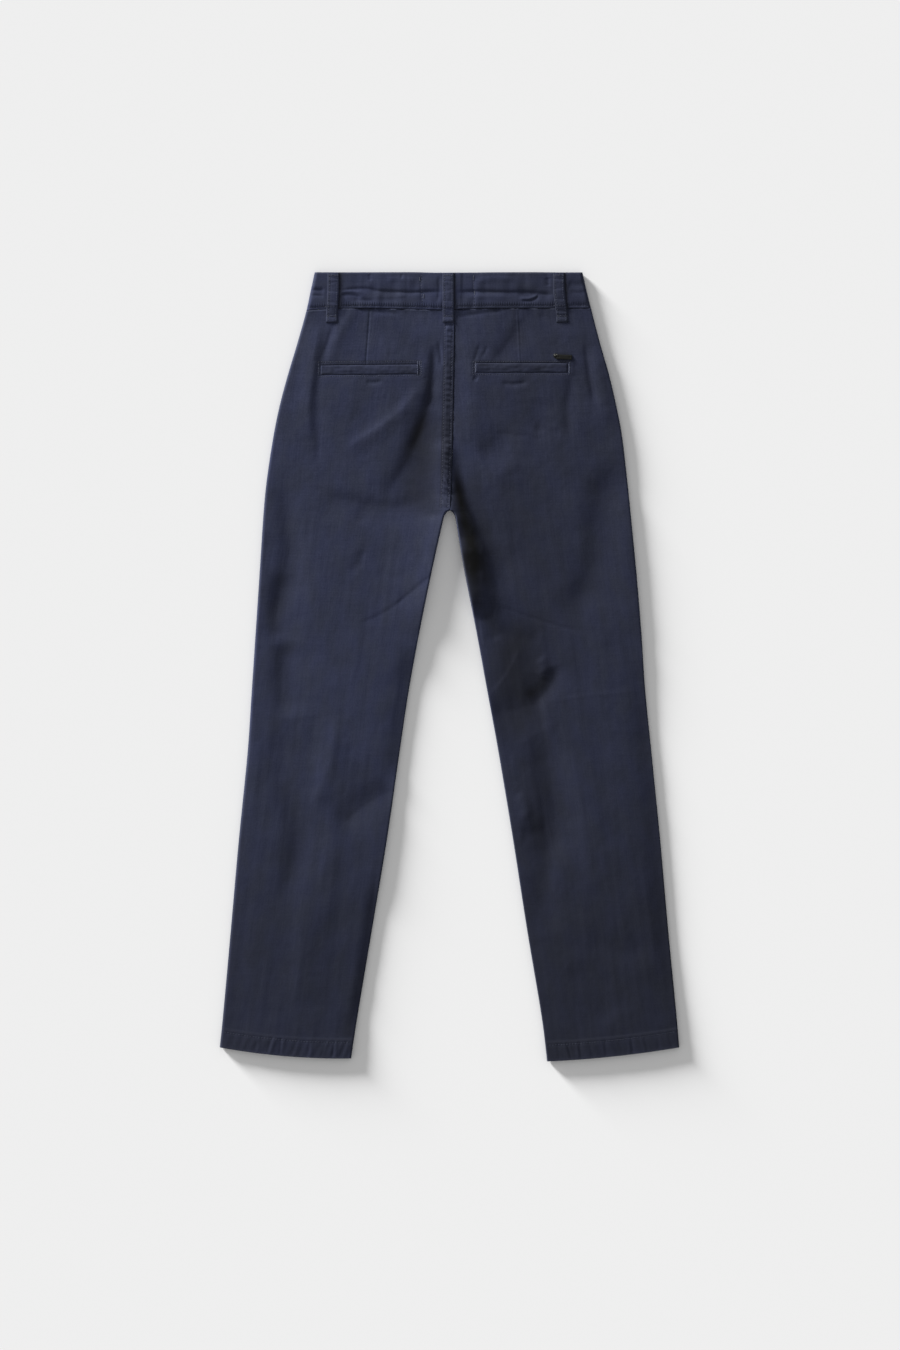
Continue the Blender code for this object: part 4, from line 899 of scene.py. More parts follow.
def back_panel(side, finish):
    """From the waist seam to the hem, from the side seam to the seat seam and the inseam."""
    heights = panel_heights(side, BACK_ROWS + LEG_ROWS, HEM_ROWS, HEM_TURN)
    rows = []
    middle, before = None, None
    for y, _ in heights:
        outer_y, in_y, bow, in_x = leg_row(side, y, seat_seam_x)
        outer_x = float(side_x(side, outer_y))
        inner_steps = [mix(a, b, curled_share(y)) for a, b in zip(FLAT_STEPS[side], INNER_CURLED)]
        if y > DARTS[side].bottom_y - DART_ROWS_BELOW:
            middle, before = middle_shares(side, y, outer_x, in_x, inner_steps[-1], before)
        px, py = row_points(outer_x, outer_y, in_x, in_y, bow, OUTER_STEPS[side], middle, inner_steps)
        rows.append((px, py, px - mix(outer_x, in_x, 0.5)))
    x, y, u = grids(rows)
    level, below = np.array(heights).T
    z, creases = back_surface(side, x, y)
    z[:, -1] = mix(z[:, -1] - LIP, BACK_EDGE_Z, smooth((CROTCH_Y + 2.0 - level) / 2.0))
    z[:, 0] = BACK_EDGE_Z
    z = np.maximum(z - below[:, None], BACK_EDGE_Z)
    y = y + seam_rise(x) * smooth((y - 355.0) / 36.0)      # the waist seam's own line
    x, y, z, u, creases = (a[::-1, ::-side] for a in (x, y, z, u, creases))
    wear, tone = back_wear(side, x, y, creases), back_painted_shade(side, x, y, creases)
    cloth("back_" + SIDE_WORDS[side], x, y, z, PANEL_WALL, True, finish, wear, (u, y), tone, open_inside=True)


# ---------------------------------------------------------------- front panels, flat on the surface


def loop_lift(x, y):
    lift = np.zeros_like(x)
    for loop in FRONT_LOOPS:
        across = box_bump(x - loop.top_x, LOOP_WIDTH / 2 + LOOP_MARGIN, FRONT_LOOP_SLOPE)
        lift = np.maximum(lift, FRONT_LOOP_LIFT * across)
    return lift * smooth((y - LOOP_BOTTOM_Y + 3.0 + FRONT_LOOP_SLOPE) / FRONT_LOOP_SLOPE)


def fly_lift(x, y):
    """The left front rises over the fly placket."""
    across = 1.0 - smooth((FRONT_EDGE_X - FLY_WIDTH - FLY_MARGIN - x) / FLY_SLOPE)
    return (FLY_CLOTH + GAP) * across * smooth((y - FLY_BOTTOM_Y + FLY_SLOPE + FLY_MARGIN) / FLY_SLOPE)


def front_z(side, x, y):
    """Height of a front panel's lower face. It is pressed flat, so its creases only just lift it."""
    lift = loop_lift(x, y)
    if side < 0:
        lift = np.maximum(lift, fly_lift(x, y))
    creases = np.maximum(0.0, unevenness(x + 0.2 * y, y, 26, 60, 31) - 0.25) * 0.5
    creases += np.maximum(0.0, unevenness(x, y, 11, 19, 32) - 0.5) * 0.25
    lift = lift + creases * smooth((y - hem_y(side, x) - 24.0) / 20.0)
    distance = inseam_distance(side, x, y)
    distance = np.where(y < SLANT_BOTTOM_Y, np.minimum(distance, np.abs(x - side_x(side, y))), distance)
    return FRONT_FOOT_Z + (lift - FRONT_FOOT_Z) * curl(distance, FRONT_CURL)


FRONT_ROWS = refined([391.3, 262.2], 3.2) + refined([261.8, 181.0], 3.2) \
    + [179, 177, 174.5, 173, 172.2, 171.0, 170, 168.5, 166, 163.5, 160] + refined([156.0, -385.0], 4.5)
FRONT_HEM_ROWS = refined([38.0, 1.5], 3.0) + [0.6, 0.15]
FRONT_HEM_TURN = [(0.0, 0.25), (0.0, 0.6), (0.2, 0.95), (0.7, 1.15), (3.0, 1.3)]
FRONT_MIDDLE_COLUMNS = 44


def front_panel(side, finish):
    """Flat on the surface, curled up at the side seam and the inseam to meet the back."""
    heights = panel_heights(side, FRONT_ROWS, FRONT_HEM_ROWS, FRONT_HEM_TURN)
    curled_steps = curl_steps(FRONT_CURL, 5) + [4.0, 6.0]
    slanted_steps = [0.0, 0.4, 1.2, 2.0, 2.8, 3.6, 4.4, 5.2, 6.0]
    beside_fly = FLY_WIDTH + FLY_MARGIN
    flat_steps = [0.0, 0.5, FLY_WIDTH - 6.0, FLY_WIDTH, beside_fly, beside_fly + 2.5, beside_fly + FLY_SLOPE,
                  beside_fly + FLY_SLOPE + 2.0, beside_fly + FLY_SLOPE + 6.0]
    middle = even_shares(FRONT_MIDDLE_COLUMNS)
    rows = []
    for y, _ in heights:
        outer_y, in_y, bow, in_x = leg_row(side, y, front_seam_x)
        slanted = y > SLANT_BOTTOM_Y
        outer_x = float(slant_x(side, outer_y) if slanted else side_x(side, outer_y))
        inner_steps = [mix(a, b, curled_share(y)) for a, b in zip(flat_steps, curled_steps)]
        outer_steps = slanted_steps if slanted else curled_steps
        px, py = row_points(outer_x, outer_y, in_x, in_y, bow, outer_steps, middle, inner_steps)
        rows.append((px, py, px - mix(outer_x, in_x, 0.5)))
    x, y, u = grids(rows)
    level, above = np.array(heights).T
    z = front_z(side, x, y)
    z[:, 0] = np.where(level > SLANT_BOTTOM_Y, z[:, 0], FRONT_EDGE_Z)
    z[:, -1] = mix(z[:, -1], FRONT_EDGE_Z, smooth((CROTCH_Y + 2.0 - level) / 2.0))
    z = np.minimum(z + above[:, None], FRONT_EDGE_Z)
    x, y, z, u = (a[::-1, ::-side] for a in (x, y, z, u))
    height = y - hem_y(side, x)
    wear = 0.8 * fading(height, 1.4) + 0.3 * spike(height - HEM_HEIGHT, 1.2)
    wear += 0.5 * spike(x - slant_x(side, y), 1.5) * (y > SLANT_BOTTOM_Y)
    cloth("front_" + SIDE_WORDS[side], x, y, z, PANEL_WALL, False, finish, wear, (u, y))


def pocket_facing(side, finish):
    """The piece that shows between the slant pocket's edge and the side seam."""
    rows = []
    for y in refined([WAIST_SEAM_Y - GAP, SLANT_BOTTOM_Y + GAP], 3.0):
        outer_x, in_x = float(side_x(side, y)), float(slant_x(side, y) + side * GAP)
        px, py = row_points(outer_x, y, in_x, y, 0.0, curl_steps(FRONT_CURL, 5), even_shares(3), [0.0])
        pz = FRONT_FOOT_Z + (FACING_DEPTH - FRONT_FOOT_Z) * curl(np.abs(px - outer_x), FRONT_CURL)
        pz[0] = FRONT_EDGE_Z
        rows.append((px, py, pz))
    x, y, z = (a[::-1, ::-side] for a in grids(rows))
    cloth("pocket_facing_" + SIDE_WORDS[side], x, y, z, PANEL_WALL, False, finish, 0.0, (x, y))


def fly(finish):
    """J-shaped placket with a softly pressed edge."""
    left, right = FRONT_EDGE_X - FLY_WIDTH, FRONT_EDGE_X - GAP
    shares = np.array([0.0, 0.01, 0.04, 0.1, 0.25, 0.4, 0.55, 0.7, 0.85, 0.95, 0.99, 1.0])
    rows = []
    for y in refined([FLY_BOTTOM_Y, WAIST_SEAM_Y - GAP], 2.6):
        edge = left + FLY_CORNER * (1.0 - float(curl(y - FLY_BOTTOM_Y, FLY_CORNER)))
        px = mix(edge, right, shares)
        pz = 0.35 * (1.0 - curl(np.minimum(px - edge, right - px), 1.2))
        rows.append((px, np.full_like(px, y), pz))
    x, y, z = grids(rows)
    cloth("fly", x, y, z, PANEL_WALL, False, finish, 0.5 * fading(right - x, 1.5), (x, y))


# ---------------------------------------------------------------- waistband


def band_z(x, y):
    """Height of the back waistband's outer surface, inside its curled ends."""
    seam_y = WAIST_SEAM_Y + seam_rise(x)
    up = y - seam_y
    gathered = box_bump(x, 112.0, 22.0)
    puckers = 0.20 * np.sin(x / 2.3 + 2.2 * unevenness(x, y * 0.5, 12, 30, 41)) * unevenness(x, y, 24, 60, 42)
    puckers += 0.26 * unevenness(x, y, 8.5, 13, 43)
    ticks = 0.21 * np.sin(2 * math.pi * x / BAND_PUCKER_STEP + 1.2 * unevenness(x, y * 0, 14, 9, 44))
    ticks *= (1.0 + 0.6 * unevenness(x, y * 0, 9, 9, 46)) * bell(up - 4.6, 1.8)
    ditch = -0.22 * bell(up - 2.5, 0.9)
    middle_seam = 0.35 * box_bump(x - seat_seam_x(y), 5.0, 4.0)
    upper = 0.4 * (1.0 - smooth((WAIST_TOP_Y - y) / 1.8))
    lower = 0.2 * (1.0 - smooth(up / 1.2)) + 0.28 * (1.0 - smooth(up / 7.0))
    return (BAND_Z + fold_height(BAND_FOLDS, x, y) + puckers * mix(0.5, 1.0, gathered) + ticks + ditch
            + middle_seam - upper - lower)


BAND_SHARES = refined([0.0, 0.03], 0.01) + refined([0.045, 0.93], 0.021) + [0.955, 0.975, 0.988, 0.996, 1.0]
BAND_TURN = 0.9            # the folded upper edge turns down this far
BAND_COLUMNS = 660
BAND_FRONT_COLUMNS = {-1: 80, 1: 64}


def waistband_back(finish):
    """Across both back panels, with its ends curled down and its upper edge folded."""
    steps = curl_steps(BAND_CURL, 8) + [5.0]
    rows = []
    for share in BAND_SHARES + [1.0]:
        level = WAIST_SEAM_Y + share * (WAIST_TOP_Y - WAIST_SEAM_Y)
        left, right = float(side_x(-1, level)), float(side_x(1, level))
        px, _ = row_points(left, level, right, level, 0.0, steps, even_shares(BAND_COLUMNS), steps)
        wave = 0.45 * unevenness(px, px * 0, 34, 10, 45)
        py = mix(WAIST_SEAM_Y + seam_rise(px), WAIST_TOP_Y + wave, share)
        ends = curl(np.minimum(px - left, right - px), BAND_CURL)
        pz = BACK_FOOT_Z + (band_z(px, py) - BACK_FOOT_Z) * ends
        pz[0] = pz[-1] = BACK_EDGE_Z
        rows.append((px, py, pz))
    x, y, z = grids(rows)
    z[-1] = np.maximum(z[-2] - BAND_TURN, BACK_EDGE_Z)
    up = y - WAIST_SEAM_Y - seam_rise(x)
    wear = 0.22 * fading(WAIST_TOP_Y - y, 1.4) + 0.2 * fading(up, 1.2)
    # Painted shade: a dark line just under the folded top edge, and each back loop's shadow painted on the
    # band to its right. The band is also a little darker along its stitched row, with random variation in
    # colour.
    tone = 0.96 - 0.30 * bell(WAIST_TOP_Y - y - 1.9, 1.1) - 0.05 * bell(up - 4.8, 2.2)
    tone += 0.05 * unevenness(x, y, 7, 5, 66)
    for loop, reach in zip(BACK_LOOPS, LOOP_PAINTED_SHADOW_REACHES):
        beside = x - np.interp(y, (LOOP_BOTTOM_Y, WAIST_TOP_Y), (loop.bottom_x, loop.top_x)) - LOOP_WIDTH / 2
        tone *= 1.0 - LOOP_PAINTED_SHADOW * bell(beside, reach) * smooth((beside + 1.0) / 1.0)
    cloth("waistband_back", x, y, z, BAND_WALL, True, finish, wear, (y, x), tone)


def button_lift(x, y):
    across = box_bump(x - BUTTON_X, BUTTON_RADIUS + LOOP_MARGIN, BUTTON_SLOPE)
    return BUTTON_LIFT * across * box_bump(y - BUTTON_Y, BUTTON_RADIUS + LOOP_MARGIN, 6.0)


def waistband_front(side, finish):
    """Flat on the surface, raised over the belt loop and the button."""
    end_x = BAND_END_X if side < 0 else BAND_END_X + GAP
    rows = []
    for share in refined([0.0, 0.02, 0.98, 1.0], 0.05):
        y = mix(WAIST_SEAM_Y, WAIST_TOP_Y, share)
        outer_x = float(side_x(side, y))
        px, py = row_points(outer_x, y, end_x, y, 0.0, curl_steps(BAND_FRONT_CURL, 6),
                            even_shares(BAND_FRONT_COLUMNS[side]), [0.0, 0.4])
        lift = loop_lift(px, py)
        if side < 0:
            lift = np.maximum(lift, button_lift(px, py))
        lift = lift + 0.3 * (1.0 - smooth((WAIST_TOP_Y - py) / 0.8))
        pz = FRONT_FOOT_Z + (lift - FRONT_FOOT_Z) * curl(np.abs(px - outer_x), BAND_FRONT_CURL)
        pz[0] = FRONT_EDGE_Z
        rows.append((px, py, pz))
    x, y, z = (a[:, ::-side] for a in grids(rows))
    wear = 0.5 * fading(WAIST_TOP_Y - y, 1.6) + 0.4 * spike(end_x - x, 1.5)
    cloth("waistband_front_" + SIDE_WORDS[side], x, y, z, BAND_WALL, False, finish, wear, (y, x))


# ---------------------------------------------------------------- belt loops and welts

BACK_SHELLS = ["cloth_back_left", "cloth_back_right", "cloth_waistband_back"]
LOOP_CREASES = ((0.8, 0.17), (-1.1, 0.10), (0.5, 0.14))      # how far each leans, and how deep it is
WELT_ACROSS = [-1.0, -0.96, -0.86, -0.72, -0.55, -0.37, -0.18, 0.0, 0.18, 0.37, 0.55, 0.72, 0.86, 0.96, 1.0]
LOOP_ACROSS = [-1.0, -0.97, -0.88, -0.74, -0.6, -0.4, -0.2, 0.0, 0.2, 0.4, 0.6, 0.74, 0.88, 0.97, 1.0]


def highest_under(names, x, y, reach):
    """Highest point of the named shells within reach of (x, y)."""
    found = [surface_z(names, x + dx * reach, y + dy * reach) for dx in (-1, 0, 1) for dy in (-1, 0, 1)]
    return max((z for z in found if z is not None), default=0.0)


def softened(heights):
    """The heights as a running mean of seven."""
    return np.convolve(np.pad(np.array(heights), 3, mode="edge"), np.ones(7) / 7, mode="valid")


def loop_middle(loop, y):
    """Where the middle of a back loop is, and its share of the way up."""
    t = (y - LOOP_BOTTOM_Y) / (LOOP_TOP_Y - LOOP_BOTTOM_Y)
    return mix(loop.bottom_x, loop.top_x, float(smooth(t * 1.3))), t


def back_loop(loop, finish):
    """A strip of cloth folded in three, from the band's upper edge to its tack on the panel."""
    heights = refined([LOOP_BOTTOM_Y, LOOP_TOP_Y], 0.8)
    bases = []
    for y in heights:
        centre, _ = loop_middle(loop, y)
        bases.append(max(highest_under(BACK_SHELLS, centre + off * LOOP_WIDTH / 2, y, 1.2)
                         for off in (-0.9, -0.45, 0.0, 0.45, 0.9)))
    bases = np.maximum(bases, softened(bases))
    across = np.array(LOOP_ACROSS)
    rows = []
    for y, base in zip(heights, bases):
        centre, t = loop_middle(loop, y)
        px, level = centre + across * LOOP_WIDTH / 2, np.full_like(across, y)
        stand_off = LOOP_ARCH * math.sin(math.pi * min(1.0, t / 0.97)) ** 0.6
        crease = np.zeros_like(across)
        for i, crease_y in enumerate(loop.creases):
            lean, depth = LOOP_CREASES[i % 3]
            off = y - crease_y + lean * across
            crease += depth * (bell(off, 1.1) - 0.5 * bell(off + 2.4, 1.5))
        roll = 0.12 * bell(y - LOOP_BOTTOM_Y - 3.4, 1.6)
        tack = 0.22 * bell(y - LOOP_BOTTOM_Y - LOOP_TACK, 1.5)
        ditch = 0.14 * bell(np.abs(across) - LOOP_LINE, 0.10)
        ripple = 0.08 * unevenness(px, level, 3.0, 4.0, 51) + 0.12 * unevenness(px, level, 5.0, 9.0, 52)
        rounded = 0.5 * (1.0 - curl((1.0 - np.abs(across)) * LOOP_WIDTH / 2, 1.1)) + 0.12 * across ** 2
        end = 0.5 * (1.0 - curl(min(y - LOOP_BOTTOM_Y, 1.2), 1.2))
        top = base + 0.65 + stand_off
        pz = top - crease + roll - tack - ditch + ripple - rounded - end
        rows.append((px, level, np.maximum(pz, base + 0.1)))
    x, y, z = grids(rows)
    edge = (1.0 - np.abs(across))[None, :] * LOOP_WIDTH / 2
    wear = 0.12 * fading(edge, 0.8) + 0.2 * fading(y - LOOP_BOTTOM_Y, 2.0)
    # painted shade along the loop's edges and at its lower end
    tone = 0.95 - LOOP_EDGE_PAINTED_SHADE * (fading(edge, 0.8) + fading(y - LOOP_BOTTOM_Y, 1.0))
    cloth(loop.name, x, y, z, LOOP_SHELL, True, finish, wear, (x, y), tone)


def front_loop(loop, finish):
    """Pressed flat under the band."""
    across = np.array(LOOP_ACROSS)
    rows = []
    for y in refined([LOOP_BOTTOM_Y, WAIST_TOP_Y - 1.0], 1.8):
        px = loop.top_x + across * LOOP_WIDTH / 2
        ditch = 0.12 * bell(np.abs(across) - FRONT_LOOP_LINE, 0.09)
        rounded = 0.5 * (1.0 - curl((1.0 - np.abs(across)) * LOOP_WIDTH / 2, 1.0))
        rows.append((px, np.full_like(px, y), ditch + rounded))
    x, y, z = grids(rows)
    cloth(loop.name, x, y, z, LOOP_WALL, False, finish, 0.3, (x, y))


def welt(side, finish):
    """A narrow folded strip in the pocket's recess, held by the stitching on both sides of it."""
    pocket = POCKETS[side]
    half = pocket.length / 2 - WELT_END_MARGIN
    panel = ["cloth_back_" + SIDE_WORDS[side]]
    along_it = np.array(refined([-half, half], 1.0))
    middle_y = pocket.y + along_it * pocket_tilt(side)
    base = softened([max(highest_under(panel, pocket.x + u, level + off, 0.6) for off in (-3, 0, 3))
                     for u, level in zip(along_it, middle_y)])
    rows = []
    for across in WELT_ACROSS:
        px = pocket.x + along_it
        wobble = 0.5 * unevenness(px, px * 0, 13, 9, 62) * (across < 0)
        py = middle_y + across * WELT_HEIGHT / 2 + wobble
        rounded = (0.22 if across > 0 else 0.5) * (1.0 - curl((1.0 - abs(across)) * WELT_HEIGHT / 2, 1.1))
        crown = 0.16 * (1.0 - across ** 2)
        ripple = 0.16 * unevenness(px, py, 11, 2.6, 61) + 0.10 * unevenness(px, py, 3.5, 3.0, 63)
        ends = 0.25 * (1.0 - curl(np.minimum(half - np.abs(along_it), 1.5), 1.5))
        rows.append((px, py, base + GAP + 0.25 + crown + ripple - rounded - ends))
    x, y, z = grids(rows)
    wear = 0.15 * np.exp(-(WELT_HEIGHT / 2 - np.abs(pocket_frame(side, x, y)[1])) / 0.9)
    tone = 0.86 + 0.10 * unevenness(x, y, 8, 3.0, 65)
    cloth("welt_" + SIDE_WORDS[side], x, y, z, WELT_WALL, True, finish, wear, (y, x), tone)


# ---------------------------------------------------------------- stitches

STITCH_LENGTH = 2.5
STITCH_PITCH = 3.1
THREAD = 0.17              # the thread's radius
STITCH_RINGS = ((-0.5, 0.0), (-0.42, 0.75), (-0.15, 1.0), (0.15, 1.0), (0.42, 0.75), (0.5, 0.0))
STITCH_SIDES = 6
STITCH_FLATNESS = 0.85
STITCH_SAG = 1.5           # radii that a stitch's ends dive into the cloth
STITCH_RISE = 0.45         # radii that its middle stands above it
STEEPEST_STITCH = 1.2      # the most that one end may stand above the other

SEAT_LINES = (2.6, 10.6)   # distances of the two rows from the seat seam
HEM_LINE = HEM_HEIGHT - 2.2
HEM_LINE_INNER_Y = -425.0
HEM_LINE_OUTER_Y = -400.0
LOOP_LINE = 0.66           # share of a back loop's half-width
FRONT_LOOP_LINE = 0.70
LOOP_TACK = 7.0            # height above the loop's lower end
INNER_TACK_INSET = 2.2
Tack = namedtuple("Tack", "x low_y high_y")
BAND_TACKS = [Tack(-32.5, 424.0, 428.6), Tack(-28.2, 405.2, 409.6), Tack(26.4, 424.8, 429.4),
              Tack(27.8, 409.2, 412.8)]
BAND_LINES = [[(-31.0, 431.0), (-30.0, 396.8)], [(26.2, 431.0), (27.4, 397.0)]]


def spaced(points, pitch):
    """Points and directions every pitch along a plan line."""
    p = np.array(points, float)
    lengths = np.hypot(*np.diff(p, axis=0).T)
    passed = np.concatenate([[0.0], np.cumsum(lengths)])
    count = max(1, int(passed[-1] / pitch))
    stops = (np.arange(count) + 0.5) * passed[-1] / count
    x, y = np.interp(stops, passed, p[:, 0]), np.interp(stops, passed, p[:, 1])
    k = np.clip(np.searchsorted(passed, stops) - 1, 0, len(lengths) - 1)
    direction = np.diff(p, axis=0)[k] / lengths[k][:, None]
    return np.stack([x, y], 1), direction


def stitch_mesh(stitches):
    """Joined mesh of stitches, each given by its two ends, its radius and whether it shows from above."""
    points, faces = [], []
    for a, b, radius, up in stitches:
        axis = b - a
        length = axis.length
        axis = axis / length
        out = Vector((0, 0, 1.0 if up else -1.0))
        across = axis.cross(out).normalized()
        out = across.cross(axis).normalized()
        first = len(points)
        middle = (a + b) / 2
        for share, width in STITCH_RINGS:
            sag = -radius * STITCH_SAG * (abs(share) / 0.5) ** 3
            centre = middle + axis * (share * length) + out * (sag + radius * STITCH_RISE)
            if width == 0.0:
                points.append(centre)
                continue
            for i in range(STITCH_SIDES):
                turn = 2 * math.pi * i / STITCH_SIDES
                spoke = across * math.cos(turn) + out * math.sin(turn) * STITCH_FLATNESS
                points.append(centre + spoke * radius * width)
        rings = len(STITCH_RINGS) - 2
        last = first + 1 + rings * STITCH_SIDES
        for i in range(STITCH_SIDES):
            j = (i + 1) % STITCH_SIDES
            faces.append((first, first + 1 + j, first + 1 + i))
            for r in range(rings - 1):
                k = first + 1 + r * STITCH_SIDES
                faces.append((k + i, k + j, k + STITCH_SIDES + j, k + STITCH_SIDES + i))
            k = first + 1 + (rings - 1) * STITCH_SIDES
            faces.append((k + i, k + j, last))
    return points, faces


def sewn(name, lines, shells, finish, up=True, pitch=STITCH_PITCH, length=STITCH_LENGTH, radius=THREAD):
    """Rows of stitches along plan lines, lying on the named shells."""
    stitches = []
    for line in lines:
        places, directions = spaced(line, pitch)
        for (x, y), (dx, dy) in zip(places, directions):
            ends = []
            for way in (-0.5, 0.5):
                ex, ey = x + dx * length * way, y + dy * length * way
                z = surface_z(shells, ex, ey, up)
                ends.append(None if z is None else Vector((ex, ey, z)))
            if None not in ends and abs(ends[0].z - ends[1].z) < STEEPEST_STITCH:
                stitches.append((ends[0], ends[1], radius, up))
    return thread_piece(name, stitches, finish)


def thread_piece(name, stitches, finish):
    points, faces = stitch_mesh(stitches)
    mesh = bpy.data.meshes.new(name)
    mesh.from_pydata([p * MM for p in points], [], faces)
    return show(name, mesh, finish)


def bar_tack(x, y, dx, dy, length, width, count):
    """Close zigzag lines of a bar tack, as short plan lines across it."""
    lines = []
    for i in range(count):
        t = (i + 0.5) / count - 0.5
        cx, cy = x + dx * length * t, y + dy * length * t
        lean = 0.25 * (1 if i % 2 else -1)
        ox, oy = -dy * width / 2 + dx * lean, dx * width / 2 + dy * lean
        lines.append([(cx - ox, cy - oy), (cx + ox, cy + oy)])
    return lines


# ---------------------------------------------------------------- materials


class Nodes:
    """A material's node tree, with short calls for the nodes used here."""

    def __init__(self, name):
        self.material = bpy.data.materials.new(name)
        self.material.use_nodes = True
        self.tree = self.material.node_tree
        self.shader = self.tree.nodes["Principled BSDF"]

    def node(self, kind, inputs=None, **settings):
        made = self.tree.nodes.new(kind)
        for key, value in settings.items():
            setattr(made, key, value)
        for key, value in (inputs or {}).items():
            self.put(made.inputs[key], value)
        return made

    def put(self, socket, value):
        if isinstance(value, bpy.types.NodeSocket):
            self.tree.links.new(value, socket)
        else:
            socket.default_value = value

    def finish(self, inputs):
        """Sets the shader's inputs, and gives the material."""
        for key, value in inputs.items():
            self.put(self.shader.inputs[key], value)
        return self.material

    def attribute(self, name, output):
        return self.node("ShaderNodeAttribute", attribute_name=name).outputs[output]

    def scaled(self, vector, scale, turn=0.0):
        node = self.node("ShaderNodeMapping", {"Vector": vector, "Rotation": (0, 0, turn), "Scale": scale})
        return node.outputs["Vector"]

    def noise(self, vector, scale, detail=2.0, roughness=0.5):
        node = self.node("ShaderNodeTexNoise", {"Vector": vector, "Scale": scale, "Detail": detail,
                                                "Roughness": roughness})
        return node.outputs["Fac"]

    def math(self, operation, a, b):
        return self.node("ShaderNodeMath", {0: a, 1: b}, operation=operation).outputs[0]

    def vectors(self, operation, inputs):
        return self.node("ShaderNodeVectorMath", inputs, operation=operation).outputs["Vector"]

    def wave(self, inputs, direction):
        node = self.node("ShaderNodeTexWave", inputs, wave_type="BANDS", bands_direction=direction)
        return node.outputs["Fac"]

    def mapped(self, value, low, high, to_low, to_high):
        node = self.node("ShaderNodeMapRange", {"Value": value, "From Min": low, "From Max": high,
                                                "To Min": to_low, "To Max": to_high})
        return node.outputs["Result"]

    def mixed(self, factor, a, b):
        node = self.node("ShaderNodeMix", data_type="RGBA")
        self.put(node.inputs["Factor"], factor)
        self.put(node.inputs[6], a)
        self.put(node.inputs[7], b)
        return node.outputs[2]

    def bump(self, height, distance, strength, normal=None):
        inputs = {"Height": height, "Distance": distance, "Strength": strength}
        if normal is not None:
            inputs["Normal"] = normal
        return self.node("ShaderNodeBump", inputs).outputs["Normal"]


TWILL_BLUE = (0.0171, 0.0212, 0.0495, 1)
TWILL_FLECK = (0.0224, 0.0224, 0.0224, 1)      # as light as the cloth, for unevenness with less colour in it
TWILL_GREY = (0.0171, 0.0208, 0.0410, 1)
TWILL_WORN = (0.0560, 0.0620, 0.0980, 1)
TWILL_LINE = 0.72          # from one diagonal line of the weave to the next
TWILL_ANGLE = -28.0
TWILL_BANDS = 0.314        # the wave texture's scale that gives a line a millimetre


def twill_material():
    """Piece-dyed navy twill: diagonal lines, uneven yarns, bluer and greyer patches, paler where it rubs, and
    its colour scaled point by point for random variation and for painted light and shade.
    """
    n = Nodes("navy_twill")
    grain = n.attribute("grain", "Vector")
    wear = n.attribute("wear", "Fac")
    tone = n.attribute("tone", "Fac")
    warp = n.noise(n.scaled(grain, (0.75, 0.022, 1)), 1.0, 3.0, 0.65)
    weft = n.noise(n.scaled(grain, (0.03, 0.60, 1)), 1.0, 2.0, 0.55)
    fleck = n.noise(grain, 0.55, 4.0, 0.75)
    cloud = n.noise(grain, 0.03, 4.0, 0.6)
    hue = n.noise(n.scaled(grain, (1, 0.5, 1)), 0.055, 1.5, 0.45)
    slanted = n.scaled(grain, (1, 1, 1), math.radians(TWILL_ANGLE))
    line = n.wave({"Vector": slanted, "Scale": TWILL_BANDS / TWILL_LINE, "Distortion": 1.2, "Detail": 1.0,
                   "Detail Scale": 2.0}, "X")
    # shade here is the yarns' and the weave's own mottling, not light or shadow
    shade = n.mapped(line, 0.0, 1.0, -0.10, 0.10)
    for noise, depth in ((warp, 0.13), (weft, 0.07), (fleck, 0.22), (cloud, 0.08)):
        shade = n.math("ADD", shade, n.mapped(noise, 0.3, 0.7, -depth, depth))
    height = n.node("ShaderNodeSeparateXYZ", {"Vector": grain}).outputs["Y"]
    shade = n.math("MULTIPLY", shade, n.mapped(height, 0.0, 300.0, 1.0, 1.4))
    patch = n.mixed(n.mapped(hue, 0.36, 0.64, 0.12, 0.88), TWILL_GREY, TWILL_BLUE)
    uneven = n.vectors("SCALE", {0: n.mixed(0.55, patch, TWILL_FLECK), "Scale": shade})
    colour = n.vectors("SCALE", {0: n.vectors("ADD", {0: patch, 1: uneven}), "Scale": tone})
    rubbed = n.math("MULTIPLY", wear, n.mapped(fleck, 0.3, 0.75, 0.15, 1.0))
    yarn = n.bump(n.noise(n.scaled(grain, (2.2, 0.9, 1)), 1.0, 2.0), 0.00004, 0.6)
    return n.finish({"Base Color": n.mixed(n.mapped(rubbed, 0.0, 1.0, 0.0, 0.8), colour, TWILL_WORN),
                     "Roughness": n.mapped(line, 0.0, 1.0, 0.92, 0.80), "Specular IOR Level": 0.22,
                     "Sheen Weight": 0.08, "Sheen Roughness": 0.45, "Sheen Tint": (0.55, 0.62, 0.95, 1),
                     "Normal": n.bump(line, 0.00004, 0.7, yarn)})


def thread_material(name, dark, pale):
    """Matching sewing thread, a little paler and with more gloss than the twill."""
    n = Nodes(name)
    place = n.node("ShaderNodeTexCoord").outputs["Object"]
    ply = n.wave({"Vector": place, "Scale": 700.0, "Distortion": 1.0}, "DIAGONAL")
    return n.finish({"Base Color": n.mixed(n.noise(place, 900.0), dark, pale), "Roughness": 0.55,
                     "Specular IOR Level": 0.4, "Normal": n.bump(ply, 0.00005, 0.6)})


